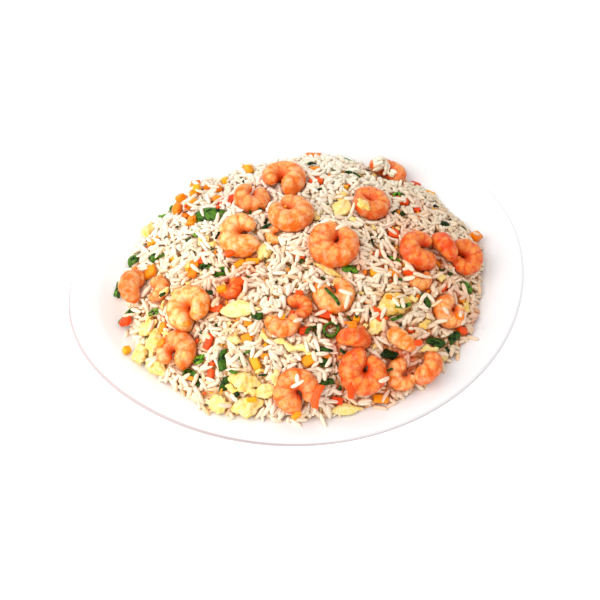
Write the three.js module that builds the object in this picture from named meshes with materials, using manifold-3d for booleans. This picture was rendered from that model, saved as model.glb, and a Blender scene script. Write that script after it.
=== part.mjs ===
// Shrimp fried rice, heaped on an oval platter.
//
// Units are millimetres, with +Z up. The origin is on the table under the middle of the platter,
// whose long axis is X. Every node is one closed solid: the platter, the mound of rice with its
// small vegetable dice, and each shrimp, piece of egg and piece of scallion as it lies. Places in
// the layout are measured from the point about which the platter's outline swells.

import * as THREE from "three";
import Module from "manifold-3d";

const wasm = await Module();
wasm.setup();

// ---- Driving dimensions ----------------------------------------------------------------------

const PLATTER_LENGTH = 305;
const PLATTER_WIDTH = 236.6;
const RIM_HEIGHT = 22;
const RIM_FALL = 3.5; // from the lip down to the rim's inner edge
const RIM_WIDTH = 17;
const SHOULDER_WIDTH = 23; // the slope between the rim and the well
const WELL_HEIGHT = 7;
const WALL = 4.5;
const FOOT_INSET = 50; // from the lip to the outside of the foot ring
const FOOT_WIDTH = 5;
const FOOT_HEIGHT = 2;
const EGG_SHARE = 0.026; // the outline swells by this share of its radius towards three sides
const EGG_TURN = 160; // degrees from +X to one of those three swellings
const PLATTER_SEGMENTS = 48;

const HEAP_LENGTH = 243;
const HEAP_WIDTH = 208;
const HEAP_HEIGHT = 41; // above the well
const HEAP_FULLNESS = 2.6; // 2 is a parabola, more is flatter on top and steeper at the edge
const HEAP_CLEAR_OF_LIP = 14;
const HEAP_RINGS = 14;
const HEAP_SIDES = 6; // added to each ring over the one inside it
const LUMP_HEIGHT = 1.8; // broad unevenness of the mound
const BUMP_HEIGHT = 1.3; // relief of the size of the grains

const DICE_SIZE = 5.6;
const DICE_COUNT = 18;

const TIP_REACH = 0.36; // of the pointed ends of long pieces, as a share of half their width
const SHRIMP_BODY = 0.238; // half thickness of the body as a share of the curl's outer size
const SHRIMP_FLATNESS = 0.94; // height of the body over its depth
const SHRIMP_SPIRAL = 0.13; // how far the curl closes in towards the tail, as a share
const SHRIMP_CLIMB = 0.1; // how far the tail lies above the head, as a share of the outer size
const SHRIMP_SEGMENT_RELIEF = 0.05;
const STALK_WALL = 1.5; // of a scallion's hollow stalk
const LEAF_THICKNESS = 1.8;
const LEAF_ARCH = 1.1; // rise of a leaf's middle above its ends
const STRIP_THICKNESS = 2; // of a thin strip of egg
const EGG_TIPS = 0.14; // share of its width by which a piece of egg is longer than its line

const GAP = 0.4; // between a topping and its pocket in the rice
const SEAT_GAP = 0.6; // between the rice and the platter
const CORE_EDGE = 0.98; // share of the mound's reach out to which its underside follows the platter

const TAU = 2 * Math.PI;
const radians = THREE.MathUtils.degToRad;

// ---- Layout of the toppings --------------------------------------------------------------------
// x and y are places on the mound. across is the outer size of the curl, head the direction of
// the thick end, in degrees from +X, and arc how far the body curls round, negative for clockwise.
// lean tips the curl up about its head's direction, and lift raises it out of the rice.

const SHRIMPS = [
  { x: 1, y: 64, across: 33, head: 270, arc: 290, lift: 1.5 },
  { x: -24, y: 51, across: 27, head: 41, arc: -300, lift: 1, lean: 25 },
  { x: -4, y: 26, across: 34, head: 91, arc: -310, lift: 1.5 },
  { x: -36, y: 20, across: 32, head: 309, arc: -292, lift: 1.5 },
  { x: 18, y: -5, across: 35, head: 81, arc: 325, lift: 2 },
  { x: 50, y: 27, across: 29, head: 111, arc: -320, lift: 1.5 },
  { x: 77, y: 68, across: 31, head: 304, arc: 230, lift: -1 },
  { x: 71, y: -15, across: 30, head: 300, arc: -268, lift: 1.5 },
  { x: 88, y: -15, across: 27, head: 98, arc: 170, lift: 1, lean: 65 },
  { x: 100, y: -19, across: 27, head: 112, arc: -280, lift: 3, lean: -25 },
  { x: -108, y: 13, across: 31, head: 66, arc: 156, lift: 1, lean: 90 },
  { x: -96, y: 5, across: 21, head: 96, arc: -220, lift: 0 },
  { x: -76, y: -21, across: 32, head: 243, arc: -312, lift: 2 },
  { x: -90.3, y: -41.7, across: 27.4, head: 276, arc: 300, lift: 1.5 },
  { x: -25, y: -46, across: 24, head: 165, arc: 190, lift: 1.5 },
  { x: -15, y: -41, across: 19, head: 129, arc: -240, lift: -0.5 },
  { x: 9, y: -36, across: 28, head: 137, arc: 290, lift: -0.5 },
  { x: -26, y: -86, across: 30, head: 254, arc: -300, lift: 2.5 },
  { x: 14, y: -84, across: 31, head: 84, arc: 324, lift: 2.5 },
  { x: 36.6, y: -90, across: 21.5, head: 74, arc: 262, lift: 0 },
  { x: 52, y: -87, across: 26, head: 222, arc: 180, lift: 0.5, lean: 75 },
  { x: 41, y: -73, across: 24, head: 126, arc: 150, lift: 0, lean: 70 },
  { x: 11, y: -65, across: 27, head: 334, arc: 150, lift: -3, lean: 80 },
  { x: 79, y: -56, across: 24, head: 78, arc: 300, lift: 0 },
  { x: 66, y: -33, across: 20, head: 131, arc: 250, lift: -2 },
  { x: -52, y: -15, across: 18, head: 56, arc: -240, lift: -1.5 },
  { x: -16, y: 15, across: 14, head: 286, arc: -240, lift: -1 },
];

// form is curd, flap (a folded, pointed piece) or strip, and turn is the long side's direction.
const EGGS = [
  { x: -50, y: -32, length: 27, width: 11, turn: 342, form: "flap" },
  { x: -25, y: -61, length: 37, width: 4, turn: 328, form: "strip" },
  { x: -106, y: -17, length: 14, width: 11, turn: 9, form: "curd" },
  { x: -104, y: -29, length: 16, width: 11, turn: 59, form: "curd" },
  { x: -114, y: -33, length: 13, width: 9, turn: 84, form: "curd" },
  { x: -105, y: -44, length: 15, width: 10, turn: 311, form: "curd" },
  { x: -25, y: 6, length: 12, width: 10, turn: 50, form: "curd" },
  { x: 33, y: 29, length: 21, width: 13, turn: 50, form: "flap" },
  { x: -95, y: 63, length: 13, width: 9, turn: 67, form: "curd" },
  { x: -73, y: -80, length: 13, width: 11, turn: 334, form: "curd" },
  { x: -57, y: -86, length: 17, width: 12, turn: 358, form: "curd" },
  { x: -56, y: -73, length: 18, width: 11, turn: 334, form: "curd" },
  { x: -45, y: -81, length: 16, width: 9, turn: 3, form: "flap" },
  { x: -1, y: -101, length: 19, width: 7, turn: 352, form: "flap" },
  { x: 44, y: -49, length: 23, width: 15, turn: 9, form: "curd" },
  { x: 28.5, y: -61.5, length: 12, width: 9, turn: 31, form: "curd" },
  { x: 10, y: -19, length: 18, width: 6, turn: 317, form: "flap" },
];

// form is ring (a slice of the hollow stalk) or blade (a piece of leaf).
const SCALLIONS = [
  { x: -54, y: 47, length: 22, width: 10, turn: 336, form: "blade" },
  { x: -108, y: 42, length: 9, width: 8, turn: 9, form: "blade" },
  { x: -122, y: 22, length: 10, width: 6, turn: 67, form: "blade" },
  { x: -119, y: -1, length: 12, width: 7, turn: 20, form: "blade" },
  { x: -85, y: -59, length: 12, width: 6, turn: 311, form: "blade" },
  { x: -65, y: -58, length: 12, width: 5, turn: 74, form: "blade" },
  { x: -67, y: -71, length: 8, width: 5, turn: 67, form: "blade" },
  { x: 1, y: -58, length: 5, width: 10, turn: 31, form: "ring" },
  { x: 24, y: -21, length: 10, width: 6, turn: 334, form: "blade" },
  { x: 32, y: -78, length: 8, width: 7, turn: 322, form: "blade" },
  { x: 64, y: -73, length: 11, width: 7, turn: 328, form: "blade" },
  { x: 78, y: -71, length: 9, width: 6, turn: 20, form: "blade" },
  { x: 98, y: -38, length: 9, width: 7, turn: 358, form: "blade" },
];

const CORN_BIT = { x: -123, y: -28, turn: 20, size: 4.4 };

// ---- Materials ---------------------------------------------------------------------------------

function material(color, roughness) {
  return new THREE.MeshStandardMaterial({ color, roughness, metalness: 0 });
}

const glaze = material(0xfbfaf7, 0.18);
const riceWhite = material(0xf3e9d8, 0.5);
const shrimpOrange = material(0xf6a05a, 0.38);
const eggYellow = material(0xf7df8c, 0.55);
const leafGreen = material(0x2f7a3a, 0.45);
const cornYellow = material(0xf5b21c, 0.4);

// ---- Small tools -------------------------------------------------------------------------------

// A repeatable stream of numbers from 0 to 1.
function randomStream(seed) {
  let state = seed;
  return () => {
    state = (state + 0x6d2b79f5) | 0;
    let t = Math.imul(state ^ (state >>> 15), 1 | state);
    t = (t + Math.imul(t ^ (t >>> 7), 61 | t)) ^ t;
    return ((t ^ (t >>> 14)) >>> 0) / 4294967296;
  };
}

// The value at x on the straight lines through [x, value] points, which run in order of x.
function alongLine(points, x) {
  const next = points.findIndex(([at]) => at >= x);
  if (next <= 0) return points[next === 0 ? 0 : points.length - 1][1];
  const [[x0, v0], [x1, v1]] = [points[next - 1], points[next]];
  return v0 + ((v1 - v0) * (x - x0)) / (x1 - x0);
}

// A closed skin through rings of points. Each ring runs the right-handed way about the direction
// from the first ring to the last, may have its own number of points, and is one point at an end.
function loft(rings) {
  const index = [];
  const starts = [];
  let total = 0;
  for (const ring of rings) {
    starts.push(total);
    total += ring.length;
  }
  for (let k = 0; k + 1 < rings.length; k++) {
    const [n, m] = [rings[k].length, rings[k + 1].length];
    const near = (i) => starts[k] + (i % n);
    const far = (j) => starts[k + 1] + (j % m);
    const [nearSteps, farSteps] = [n === 1 ? 0 : n, m === 1 ? 0 : m];
    let i = 0;
    let j = 0;
    while (i < nearSteps || j < farSteps) {
      const stepNear = j >= farSteps || (i < nearSteps && (i + 1) / n <= (j + 1) / m);
      if (stepNear) {
        index.push(near(i), near(i + 1), far(j));
        i++;
      } else {
        index.push(near(i), far(j + 1), far(j));
        j++;
      }
    }
  }
  const geometry = new THREE.BufferGeometry().setFromPoints(rings.flat());
  geometry.setIndex(index);
  return geometry;
}

function solidOf(geometry, matrix = new THREE.Matrix4()) {
  const placed = geometry.clone().applyMatrix4(matrix);
  return new wasm.Manifold(
    new wasm.Mesh({
      numProp: 3,
      vertProperties: placed.getAttribute("position").array,
      triVerts: new Uint32Array(placed.index.array),
    }),
  );
}

function geometryOf(solid) {
  const mesh = solid.getMesh();
  const geometry = new THREE.BufferGeometry();
  geometry.setAttribute("position", new THREE.BufferAttribute(mesh.vertProperties, 3));
  geometry.setIndex(new THREE.BufferAttribute(mesh.triVerts, 1));
  return geometry;
}

// ---- The platter -------------------------------------------------------------------------------

function eggPoint(turn) {
  const swell = 1 + EGG_SHARE * Math.cos(3 * (turn - radians(EGG_TURN)));
  return new THREE.Vector2(
    (PLATTER_LENGTH / 2) * swell * Math.cos(turn),
    (PLATTER_WIDTH / 2) * swell * Math.sin(turn),
  );
}

const OUTLINE_SAMPLES = 360;
const outline = Array.from({ length: OUTLINE_SAMPLES }, (_, i) =>
  eggPoint((TAU * i) / OUTLINE_SAMPLES),
);

// The point at a turn round the platter, the given distance inside its lip.
function rimPoint(turn, inset, z) {
  const step = TAU / OUTLINE_SAMPLES;
  const at = eggPoint(turn);
  const along = eggPoint(turn + step).sub(eggPoint(turn - step)).normalize();
  return new THREE.Vector3(at.x - along.y * inset, at.y + along.x * inset, z);
}

const SHOULDER_FOOT = RIM_WIDTH + SHOULDER_WIDTH;

// [inset from the lip, height] of the upper face, from the lip to the well.
const UPPER_FACE = [
  [0.8, RIM_HEIGHT - 0.7],
  [2.6, RIM_HEIGHT],
  [RIM_WIDTH, RIM_HEIGHT - RIM_FALL],
  [RIM_WIDTH + SHOULDER_WIDTH * 0.3, RIM_HEIGHT - RIM_FALL - 3.8],
  [RIM_WIDTH + SHOULDER_WIDTH * 0.7, WELL_HEIGHT + 2.4],
  [SHOULDER_FOOT, WELL_HEIGHT + 0.5],
  [SHOULDER_FOOT + 8, WELL_HEIGHT],
];

// [inset, height] of the under face, from the middle of the underside out to the lip.
const UNDER_FACE = [
  [FOOT_INSET + FOOT_WIDTH + 1, FOOT_HEIGHT],
  [FOOT_INSET + FOOT_WIDTH, 0],
  [FOOT_INSET, 0],
  [FOOT_INSET - 1, FOOT_HEIGHT],
  [SHOULDER_FOOT - 4, WELL_HEIGHT - WALL + 0.6],
  [RIM_WIDTH + SHOULDER_WIDTH * 0.45, WELL_HEIGHT - 0.5],
  [RIM_WIDTH + 1, RIM_HEIGHT - RIM_FALL - WALL],
  [3, RIM_HEIGHT - WALL + 0.6],
  [0.8, RIM_HEIGHT - WALL + 1.4],
  [0, RIM_HEIGHT - WALL / 2],
];

function platterRing([inset, z]) {
  return Array.from({ length: PLATTER_SEGMENTS }, (_, i) =>
    rimPoint((TAU * i) / PLATTER_SEGMENTS, inset, z),
  );
}

function platterGeometry() {
  return loft([
    [new THREE.Vector3(0, 0, FOOT_HEIGHT)],
    ...UNDER_FACE.map(platterRing),
    ...UPPER_FACE.map(platterRing),
    [new THREE.Vector3(0, 0, WELL_HEIGHT)],
  ]);
}

function insetAt(x, y) {
  return Math.min(...outline.map((p) => Math.hypot(p.x - x, p.y - y)));
}

function platterTop(x, y) {
  return alongLine(UPPER_FACE, insetAt(x, y));
}

// ---- The mound of rice -------------------------------------------------------------------------

// The mound's edge at a turn: an oval with a ragged outline that stays off the rim.
function heapReach(turn) {
  const ragged = 1 + 0.014 * Math.sin(5 * turn + 1) + 0.01 * Math.sin(11 * turn + 2);
  const [c, s] = [Math.cos(turn) / (HEAP_LENGTH / 2), Math.sin(turn) / (HEAP_WIDTH / 2)];
  let reach = ragged / Math.hypot(c, s);
  while (insetAt(reach * Math.cos(turn), reach * Math.sin(turn)) < HEAP_CLEAR_OF_LIP) reach -= 0.5;
  return reach;
}

// Height of the smooth mound over a place, before its grain-sized bumps.
function heapTop(x, y) {
  const turn = Math.atan2(y, x);
  const reach = heapReach(turn);
  const share = Math.min(1, Math.hypot(x, y) / reach);
  const foot = platterTop(reach * Math.cos(turn), reach * Math.sin(turn)) + SEAT_GAP;
  const fall = share ** HEAP_FULLNESS;
  const lumps = Math.sin(x / 17 + 1) * Math.cos(y / 14) + 0.6 * Math.sin((x + 2 * y) / 21);
  return (WELL_HEIGHT + HEAP_HEIGHT) * (1 - fall) + foot * fall + LUMP_HEIGHT * lumps * (1 - fall);
}

function heapPoint(turn, share, height) {
  const r = share * heapReach(turn);
  const [x, y] = [r * Math.cos(turn), r * Math.sin(turn)];
  return new THREE.Vector3(x, y, height(x, y));
}

// The mound's underside, from its middle to its edge, lies on the platter's own facets.
function heapUnderside() {
  const seatHeight = (x, y) => platterTop(x, y) + SEAT_GAP;
  const profile = UPPER_FACE.slice(2).reverse();
  const ringStep = 0.015; // keeps the rings apart where the mound ends inside several of them
  const rings = profile.map(([inset, z], k) => {
    const limit = CORE_EDGE - ringStep * (profile.length - 1 - k);
    return Array.from({ length: PLATTER_SEGMENTS }, (_, i) => {
      const point = rimPoint((TAU * i) / PLATTER_SEGMENTS, inset, z + SEAT_GAP);
      const turn = Math.atan2(point.y, point.x);
      const inside = Math.hypot(point.x, point.y) < limit * heapReach(turn);
      return inside ? point : heapPoint(turn, limit, seatHeight);
    });
  });
  const sides = HEAP_SIDES * HEAP_RINGS;
  const edge = Array.from({ length: sides }, (_, i) =>
    heapPoint((TAU * i) / sides, 1, seatHeight),
  );
  return [[new THREE.Vector3(0, 0, seatHeight(0, 0))], ...rings, edge];
}

function heapCore() {
  const random = randomStream(11);
  const spread = () => 2 * random() - 1;
  const bumpy = (x, y) => heapTop(x, y) + BUMP_HEIGHT * spread();
  const stagger = 0.25; // share of a step by which a bump leaves its even place
  const rings = heapUnderside();
  for (let k = HEAP_RINGS - 1; k > 0; k--) {
    const sides = HEAP_SIDES * k;
    const ring = Array.from({ length: sides }, (_, i) =>
      heapPoint((TAU * (i + stagger * spread())) / sides, k / HEAP_RINGS, bumpy),
    );
    rings.push(ring);
  }
  rings.push([new THREE.Vector3(0, 0, heapTop(0, 0))]);
  return solidOf(loft(rings));
}

// A place on a surface, by default the mound's: local Z stands out of the surface, and local X
// points to turn.
function seat({ x, y, turn = 0, lean = 0, lift = 0 }, top = heapTop, reach = 9) {
  const slopeX = (top(x + reach, y) - top(x - reach, y)) / (2 * reach);
  const slopeY = (top(x, y + reach) - top(x, y - reach)) / (2 * reach);
  const normal = new THREE.Vector3(-slopeX, -slopeY, 1).normalize();
  const object = new THREE.Object3D();
  object.quaternion.setFromUnitVectors(new THREE.Vector3(0, 0, 1), normal);
  object.rotateZ(radians(turn));
  object.rotateX(radians(lean));
  object.position.set(x, y, top(x, y)).addScaledVector(normal, lift);
  object.updateMatrix();
  return object;
}

// ---- Pieces that lie on the rice ---------------------------------------------------------------

// A body that follows a line: at(u) gives its middle, the directions of its width and height, with
// width x height pointing along the line, and half of each, for u from 0 to 1.
function bodyAlong(steps, sides, at, grow) {
  const rings = [];
  const ends = [at(0), at(1)].map(({ centre, wide, high, a }) => {
    const ahead = new THREE.Vector3().crossVectors(wide, high);
    return { centre, ahead, reach: TIP_REACH * a + grow };
  });
  rings.push([ends[0].centre.clone().addScaledVector(ends[0].ahead, -ends[0].reach)]);
  for (let i = 0; i <= steps; i++) {
    const { centre, wide, high, a, b } = at(i / steps);
    const ring = Array.from({ length: sides }, (_, j) => {
      const t = (TAU * (j + 0.5)) / sides;
      return centre
        .clone()
        .addScaledVector(wide, (a + grow) * Math.cos(t))
        .addScaledVector(high, (b + grow) * Math.sin(t));
    });
    rings.push(ring);
  }
  rings.push([ends[1].centre.clone().addScaledVector(ends[1].ahead, ends[1].reach)]);
  return loft(rings);
}

const SHRIMP_STEP = 30; // degrees of curl
const SHRIMP_SIDES = 6;

// Half thickness of the body from its cut head end (0) to its tail (1), as a share of the largest.
const SHRIMP_TAPER = [
  [0, 0.86],
  [0.08, 0.97],
  [0.25, 1],
  [0.5, 0.96],
  [0.75, 0.87],
  [0.92, 0.7],
  [1, 0.52],
];

// A peeled, curled shrimp lying on its side, with the middle of its curl at the origin.
function shrimpGeometry({ across, arc }, grow = 0) {
  const thick = SHRIMP_BODY * across;
  const curl = across / 2 - thick;
  const way = Math.sign(arc);
  const steps = Math.round(Math.abs(arc) / SHRIMP_STEP);
  const at = (u) => {
    const turn = radians(arc) * u;
    const radius = curl * (1 - SHRIMP_SPIRAL * u);
    const out = new THREE.Vector3(Math.cos(turn), Math.sin(turn), 0);
    const bulge = 1 + SHRIMP_SEGMENT_RELIEF * Math.cos(u * steps * Math.PI);
    const half = thick * alongLine(SHRIMP_TAPER, u) * bulge;
    return {
      centre: out.clone().multiplyScalar(radius).setZ(SHRIMP_CLIMB * across * u * u),
      wide: new THREE.Vector3(0, 0, way),
      high: out,
      a: SHRIMP_FLATNESS * half,
      b: half,
    };
  };
  return bodyAlong(steps, SHRIMP_SIDES, at, grow);
}

// Egg that set in soft folds: a lump with knobs, a folded leaf pointed at both ends, or a strip.
// Each gives half its width and height at a place along it, and how far it sways from side to side.
const EGG_FORMS = {
  curd: (half, belly, knob) => ({ a: half * belly * knob, b: 0.64 * half * belly * knob, sway: 0.6 }),
  flap: (half, belly) => ({ a: half * belly ** 1.6, b: 0.44 * half * belly, sway: 0.3 }),
  strip: (half, belly, knob) => ({ a: half * knob, b: STRIP_THICKNESS / 2, sway: 1.6 }),
};

function eggGeometry({ length, width, form, x, y }, grow = 0) {
  const random = randomStream(Math.round(100 * x + 7 * y));
  const knobs = Array.from({ length: 7 }, () => 0.75 + 0.5 * random());
  const steps = form === "strip" ? 9 : 5;
  const at = (u) => {
    const belly = Math.sin(Math.PI * (0.1 + 0.8 * u));
    const knob = knobs[Math.round(u * steps) % knobs.length];
    const { a, b, sway } = EGG_FORMS[form](width / 2, belly, knob);
    const wave = sway * Math.sin(u * steps * 1.7 + x);
    return {
      centre: new THREE.Vector3((u - 0.5) * (length - EGG_TIPS * width), wave, 0),
      wide: new THREE.Vector3(0, 1, 0),
      high: new THREE.Vector3(0, 0, 1),
      a,
      b,
    };
  };
  return bodyAlong(steps, form === "strip" ? 4 : 6, at, grow);
}

// A slice of hollow scallion stalk, lying with its hole nearly upright. Grown, it is the plain round
// pocket that the slice lies in.
function scallionRing({ length, width }, grow = 0) {
  const sides = 10;
  const [outer, inner] = [width / 2 + grow, width / 2 - STALK_WALL];
  const [low, high] = [-length / 2 - grow, length / 2 + grow];
  const profile = [
    [inner, low],
    [outer, low],
    [outer, high],
    [inner, high],
    [inner, low],
  ].map(([r, z]) => new THREE.Vector2(r, z));
  return grow
    ? new THREE.CylinderGeometry(outer, outer, high - low, sides).rotateX(Math.PI / 2)
    : new THREE.LatheGeometry(profile, sides).rotateX(Math.PI / 2);
}

// A piece cut from a scallion leaf: a thin blade, arched across its width.
function scallionBlade({ length, width, x }, grow = 0) {
  const steps = 4;
  const at = (u) => ({
    centre: new THREE.Vector3(
      (u - 0.5) * length,
      0.6 * Math.sin(4 * u + x),
      LEAF_ARCH * Math.sin(Math.PI * u),
    ),
    wide: new THREE.Vector3(0, 1, 0),
    high: new THREE.Vector3(0, 0, 1),
    a: (width / 2) * (0.85 + 0.15 * Math.sin(Math.PI * u)),
    b: LEAF_THICKNESS / 2,
  });
  return bodyAlong(steps, 6, at, grow);
}

function scallionGeometry(piece, grow) {
  return piece.form === "ring" ? scallionRing(piece, grow) : scallionBlade(piece, grow);
}

// Merges a lathe's or cylinder's doubled seam, so that it is one closed skin.
function welded(geometry) {
  if (!geometry.getAttribute("uv")) return geometry;
  const seen = new Map();
  const points = [];
  const position = geometry.getAttribute("position");
  const renamed = Array.from({ length: position.count }, (_, i) => {
    const p = new THREE.Vector3().fromBufferAttribute(position, i);
    const key = p.toArray().map((v) => Math.round(v * 1000)).join();
    if (!seen.has(key)) seen.set(key, points.push(p) - 1);
    return seen.get(key);
  });
  const index = [];
  for (let i = 0; i < geometry.index.count; i += 3) {
    const triangle = [0, 1, 2].map((k) => renamed[geometry.index.getX(i + k)]);
    if (new Set(triangle).size === 3) index.push(...triangle);
  }
  const made = new THREE.BufferGeometry().setFromPoints(points);
  made.setIndex(index);
  return made;
}

function dieGeometry(random) {
  const size = () => DICE_SIZE * (0.8 + 0.4 * random());
  return welded(new THREE.BoxGeometry(size(), size(), size()));
}

// ---- Putting the dish together -----------------------------------------------------------------

const dish = new THREE.Group();
const pockets = [];

function addMesh(name, geometry, look, place = new THREE.Object3D()) {
  const mesh = new THREE.Mesh(geometry, look);
  mesh.name = name;
  mesh.position.copy(place.position);
  mesh.quaternion.copy(place.quaternion);
  dish.add(mesh);
}

const platter = platterGeometry();
const platterSolid = solidOf(platter);

// Adds one node for each piece in a layout, and keeps the pocket that it needs in the rice. height
// gives how far a piece's middle stands over the mound before its own lift, and a piece that
// reaches the platter is raised until it clears it.
function addPieces(prefix, pieces, shape, look, height) {
  pieces.forEach((piece, i) => {
    const { turn = piece.head, lean = 0, lift = 0 } = piece;
    const place = seat({ x: piece.x, y: piece.y, turn, lean, lift: lift + height(piece) });
    const wanted = welded(shape(piece, GAP));
    while (!solidOf(wanted, place.matrix).intersect(platterSolid).isEmpty()) {
      place.position.z += GAP;
      place.updateMatrix();
    }
    const name = prefix + "_" + String(i + 1).padStart(2, "0");
    addMesh(name, welded(shape(piece)), look, place);
    pockets.push(solidOf(wanted, place.matrix));
  });
}

addMesh("platter", platter, glaze);
addPieces("shrimp", SHRIMPS, shrimpGeometry, shrimpOrange, ({ across }) => 0.07 * across);
addPieces("egg", EGGS, eggGeometry, eggYellow, ({ form }) => (form === "strip" ? 1.2 : 0.8));
addPieces("scallion", SCALLIONS, scallionGeometry, leafGreen, ({ form, width }) =>
  form === "ring" ? 0.15 * width : 0.6,
);

// Vegetable dice lie all over the mound, evenly by area, wherever they miss the toppings.
function scatteredDice() {
  const random = randomStream(5);
  const kept = [];
  while (kept.length < DICE_COUNT) {
    const turn = TAU * random();
    const r = heapReach(turn) * 0.93 * Math.sqrt(random());
    const place = seat({
      x: r * Math.cos(turn),
      y: r * Math.sin(turn),
      turn: 360 * random(),
      lean: 50 * (random() - 0.5),
      lift: 0.9,
    });
    const die = solidOf(dieGeometry(random), place.matrix);
    if (pockets.every((pocket) => die.intersect(pocket).isEmpty())) kept.push(die);
  }
  return kept;
}

const bare = heapCore().subtract(wasm.Manifold.union(pockets));
const heaped = wasm.Manifold.union([bare, ...scatteredDice()]);
const largest = heaped.decompose().sort((a, b) => b.volume() - a.volume())[0];
addMesh("rice_heap", geometryOf(largest), riceWhite);

// One bit of corn lies by itself on the slope of the platter.
const cornPlace = seat({ ...CORN_BIT, lift: CORN_BIT.size / 2 + GAP }, platterTop, 2);
const corn = new THREE.BoxGeometry(CORN_BIT.size, CORN_BIT.size, CORN_BIT.size);
addMesh("corn_bit", welded(corn), cornYellow, cornPlace);

const middle = new THREE.Box2().setFromPoints(outline).getCenter(new THREE.Vector2());
dish.position.set(-middle.x, -middle.y, 0);

export default dish;
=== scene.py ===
"""Looks for the shrimp fried rice on its oval platter.

Lengths are millimetres in the frame of the layout, whose origin is the point about which the
platter's outline swells. Batch.piece moves the points to the part's frame, in metres.
"""

import math

import bpy
import numpy as np
from mathutils import Matrix, Quaternion, Vector, noise


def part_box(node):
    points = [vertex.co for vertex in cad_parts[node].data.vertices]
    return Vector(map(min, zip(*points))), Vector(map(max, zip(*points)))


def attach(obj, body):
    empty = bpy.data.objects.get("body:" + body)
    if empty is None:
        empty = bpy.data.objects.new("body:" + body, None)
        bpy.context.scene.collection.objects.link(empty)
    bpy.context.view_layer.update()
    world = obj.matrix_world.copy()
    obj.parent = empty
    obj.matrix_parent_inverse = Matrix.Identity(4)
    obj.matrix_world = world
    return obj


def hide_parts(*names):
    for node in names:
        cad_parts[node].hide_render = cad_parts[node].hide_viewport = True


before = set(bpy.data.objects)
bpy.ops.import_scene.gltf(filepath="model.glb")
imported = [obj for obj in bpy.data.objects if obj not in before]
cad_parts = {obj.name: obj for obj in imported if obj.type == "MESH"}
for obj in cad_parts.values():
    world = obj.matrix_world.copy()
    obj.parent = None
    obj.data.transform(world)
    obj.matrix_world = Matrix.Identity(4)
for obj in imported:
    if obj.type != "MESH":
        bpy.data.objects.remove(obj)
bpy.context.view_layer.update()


MM = 0.001
TAU = 2 * math.pi

# ---- Sizes, as in the part ----

PLATTER_LENGTH, PLATTER_WIDTH = 305.0, 236.6
RIM_HEIGHT, RIM_FALL, RIM_WIDTH, SHOULDER_WIDTH = 22.0, 3.5, 17.0, 23.0
WELL_HEIGHT, WALL = 7.0, 4.5
FOOT_INSET, FOOT_WIDTH, FOOT_HEIGHT = 50.0, 5.0, 2.0
EGG_SHARE, EGG_TURN = 0.026, 160.0  # by how much and where the outline swells
PLATTER_SEGMENTS = 192

HEAP_LENGTH, HEAP_WIDTH, HEAP_HEIGHT = 243.0, 208.0, 41.0
HEAP_FULLNESS, HEAP_CLEAR_OF_LIP = 2.6, 14.0
LUMP_HEIGHT, SEAT_GAP = 1.8, 0.6

# ---- Layout of the toppings ----
# x, y, across, head, arc, lift, lean and tint. Tint runs from 0, pale, to 1, red-orange.

SHRIMPS = [
    (1, 64, 33, 270, 290, 1.5, 0, 0.5),
    (-24, 51, 27, 41, -300, 1, 25, 0.5),
    (-4, 26, 34, 91, -310, 1.5, 0, 0.45),
    (-36, 20, 32, 309, -292, 1.5, 0, 0.2),
    (18, -5, 35, 81, 325, 2, 0, 0.62),
    (50, 27, 29, 111, -320, 1.5, 0, 0.75),
    (77, 68, 31, 304, 230, -1, 0, 0.7),
    (71, -15, 30, 300, -268, 1.5, 0, 0.85),
    (88, -15, 27, 98, 170, 1, 65, 0.9),
    (100, -19, 27, 112, -280, 3, -25, 0.85),
    (-108, 13, 31, 66, 156, 1, 90, 0.5),
    (-96, 5, 21, 96, -220, 0, 0, 0.5),
    (-76, -21, 32, 243, -312, 2, 0, 0.2),
    (-90.3, -41.7, 27.4, 276, 300, 1.5, 0, 0.5),
    (-25, -46, 24, 165, 190, 1.5, 0, 0.45),
    (-15, -41, 19, 129, -240, -0.5, 0, 0.75),
    (9, -36, 28, 137, 290, -0.5, 0, 0.3),
    (-26, -86, 30, 254, -300, 2.5, 0, 0.65),
    (14, -84, 31, 84, 324, 2.5, 0, 0.85),
    (36.6, -90, 21.5, 74, 262, 0, 0, 0.45),
    (52, -87, 26, 222, 180, 0.5, 75, 0.65),
    (41, -73, 24, 126, 150, 0, 70, 0.3),
    (11, -65, 27, 334, 150, -3, 80, 0.8),
    (79, -56, 24, 78, 300, 0, 0, 0.4),
    (66, -33, 20, 131, 250, -2, 0, 0.5),
    (-52, -15, 18, 56, -240, -1.5, 0, 0.85),
    (-16, 15, 14, 286, -240, -1, 0, 0.1),
]

# x, y, length, width, turn, form
EGGS = [
    (-50, -32, 27, 11, 342, "flap"),
    (-25, -61, 37, 4, 328, "strip"),
    (-106, -17, 14, 11, 9, "curd"),
    (-104, -29, 16, 11, 59, "curd"),
    (-114, -33, 13, 9, 84, "curd"),
    (-105, -44, 15, 10, 311, "curd"),
    (-25, 6, 12, 10, 50, "curd"),
    (33, 29, 21, 13, 50, "flap"),
    (-95, 63, 13, 9, 67, "curd"),
    (-73, -80, 13, 11, 334, "curd"),
    (-57, -86, 17, 12, 358, "curd"),
    (-56, -73, 18, 11, 334, "curd"),
    (-45, -81, 16, 9, 3, "flap"),
    (-1, -101, 19, 7, 352, "flap"),
    (44, -49, 23, 15, 9, "curd"),
    (28.5, -61.5, 12, 9, 31, "curd"),
    (10, -19, 18, 6, 317, "flap"),
]

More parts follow.
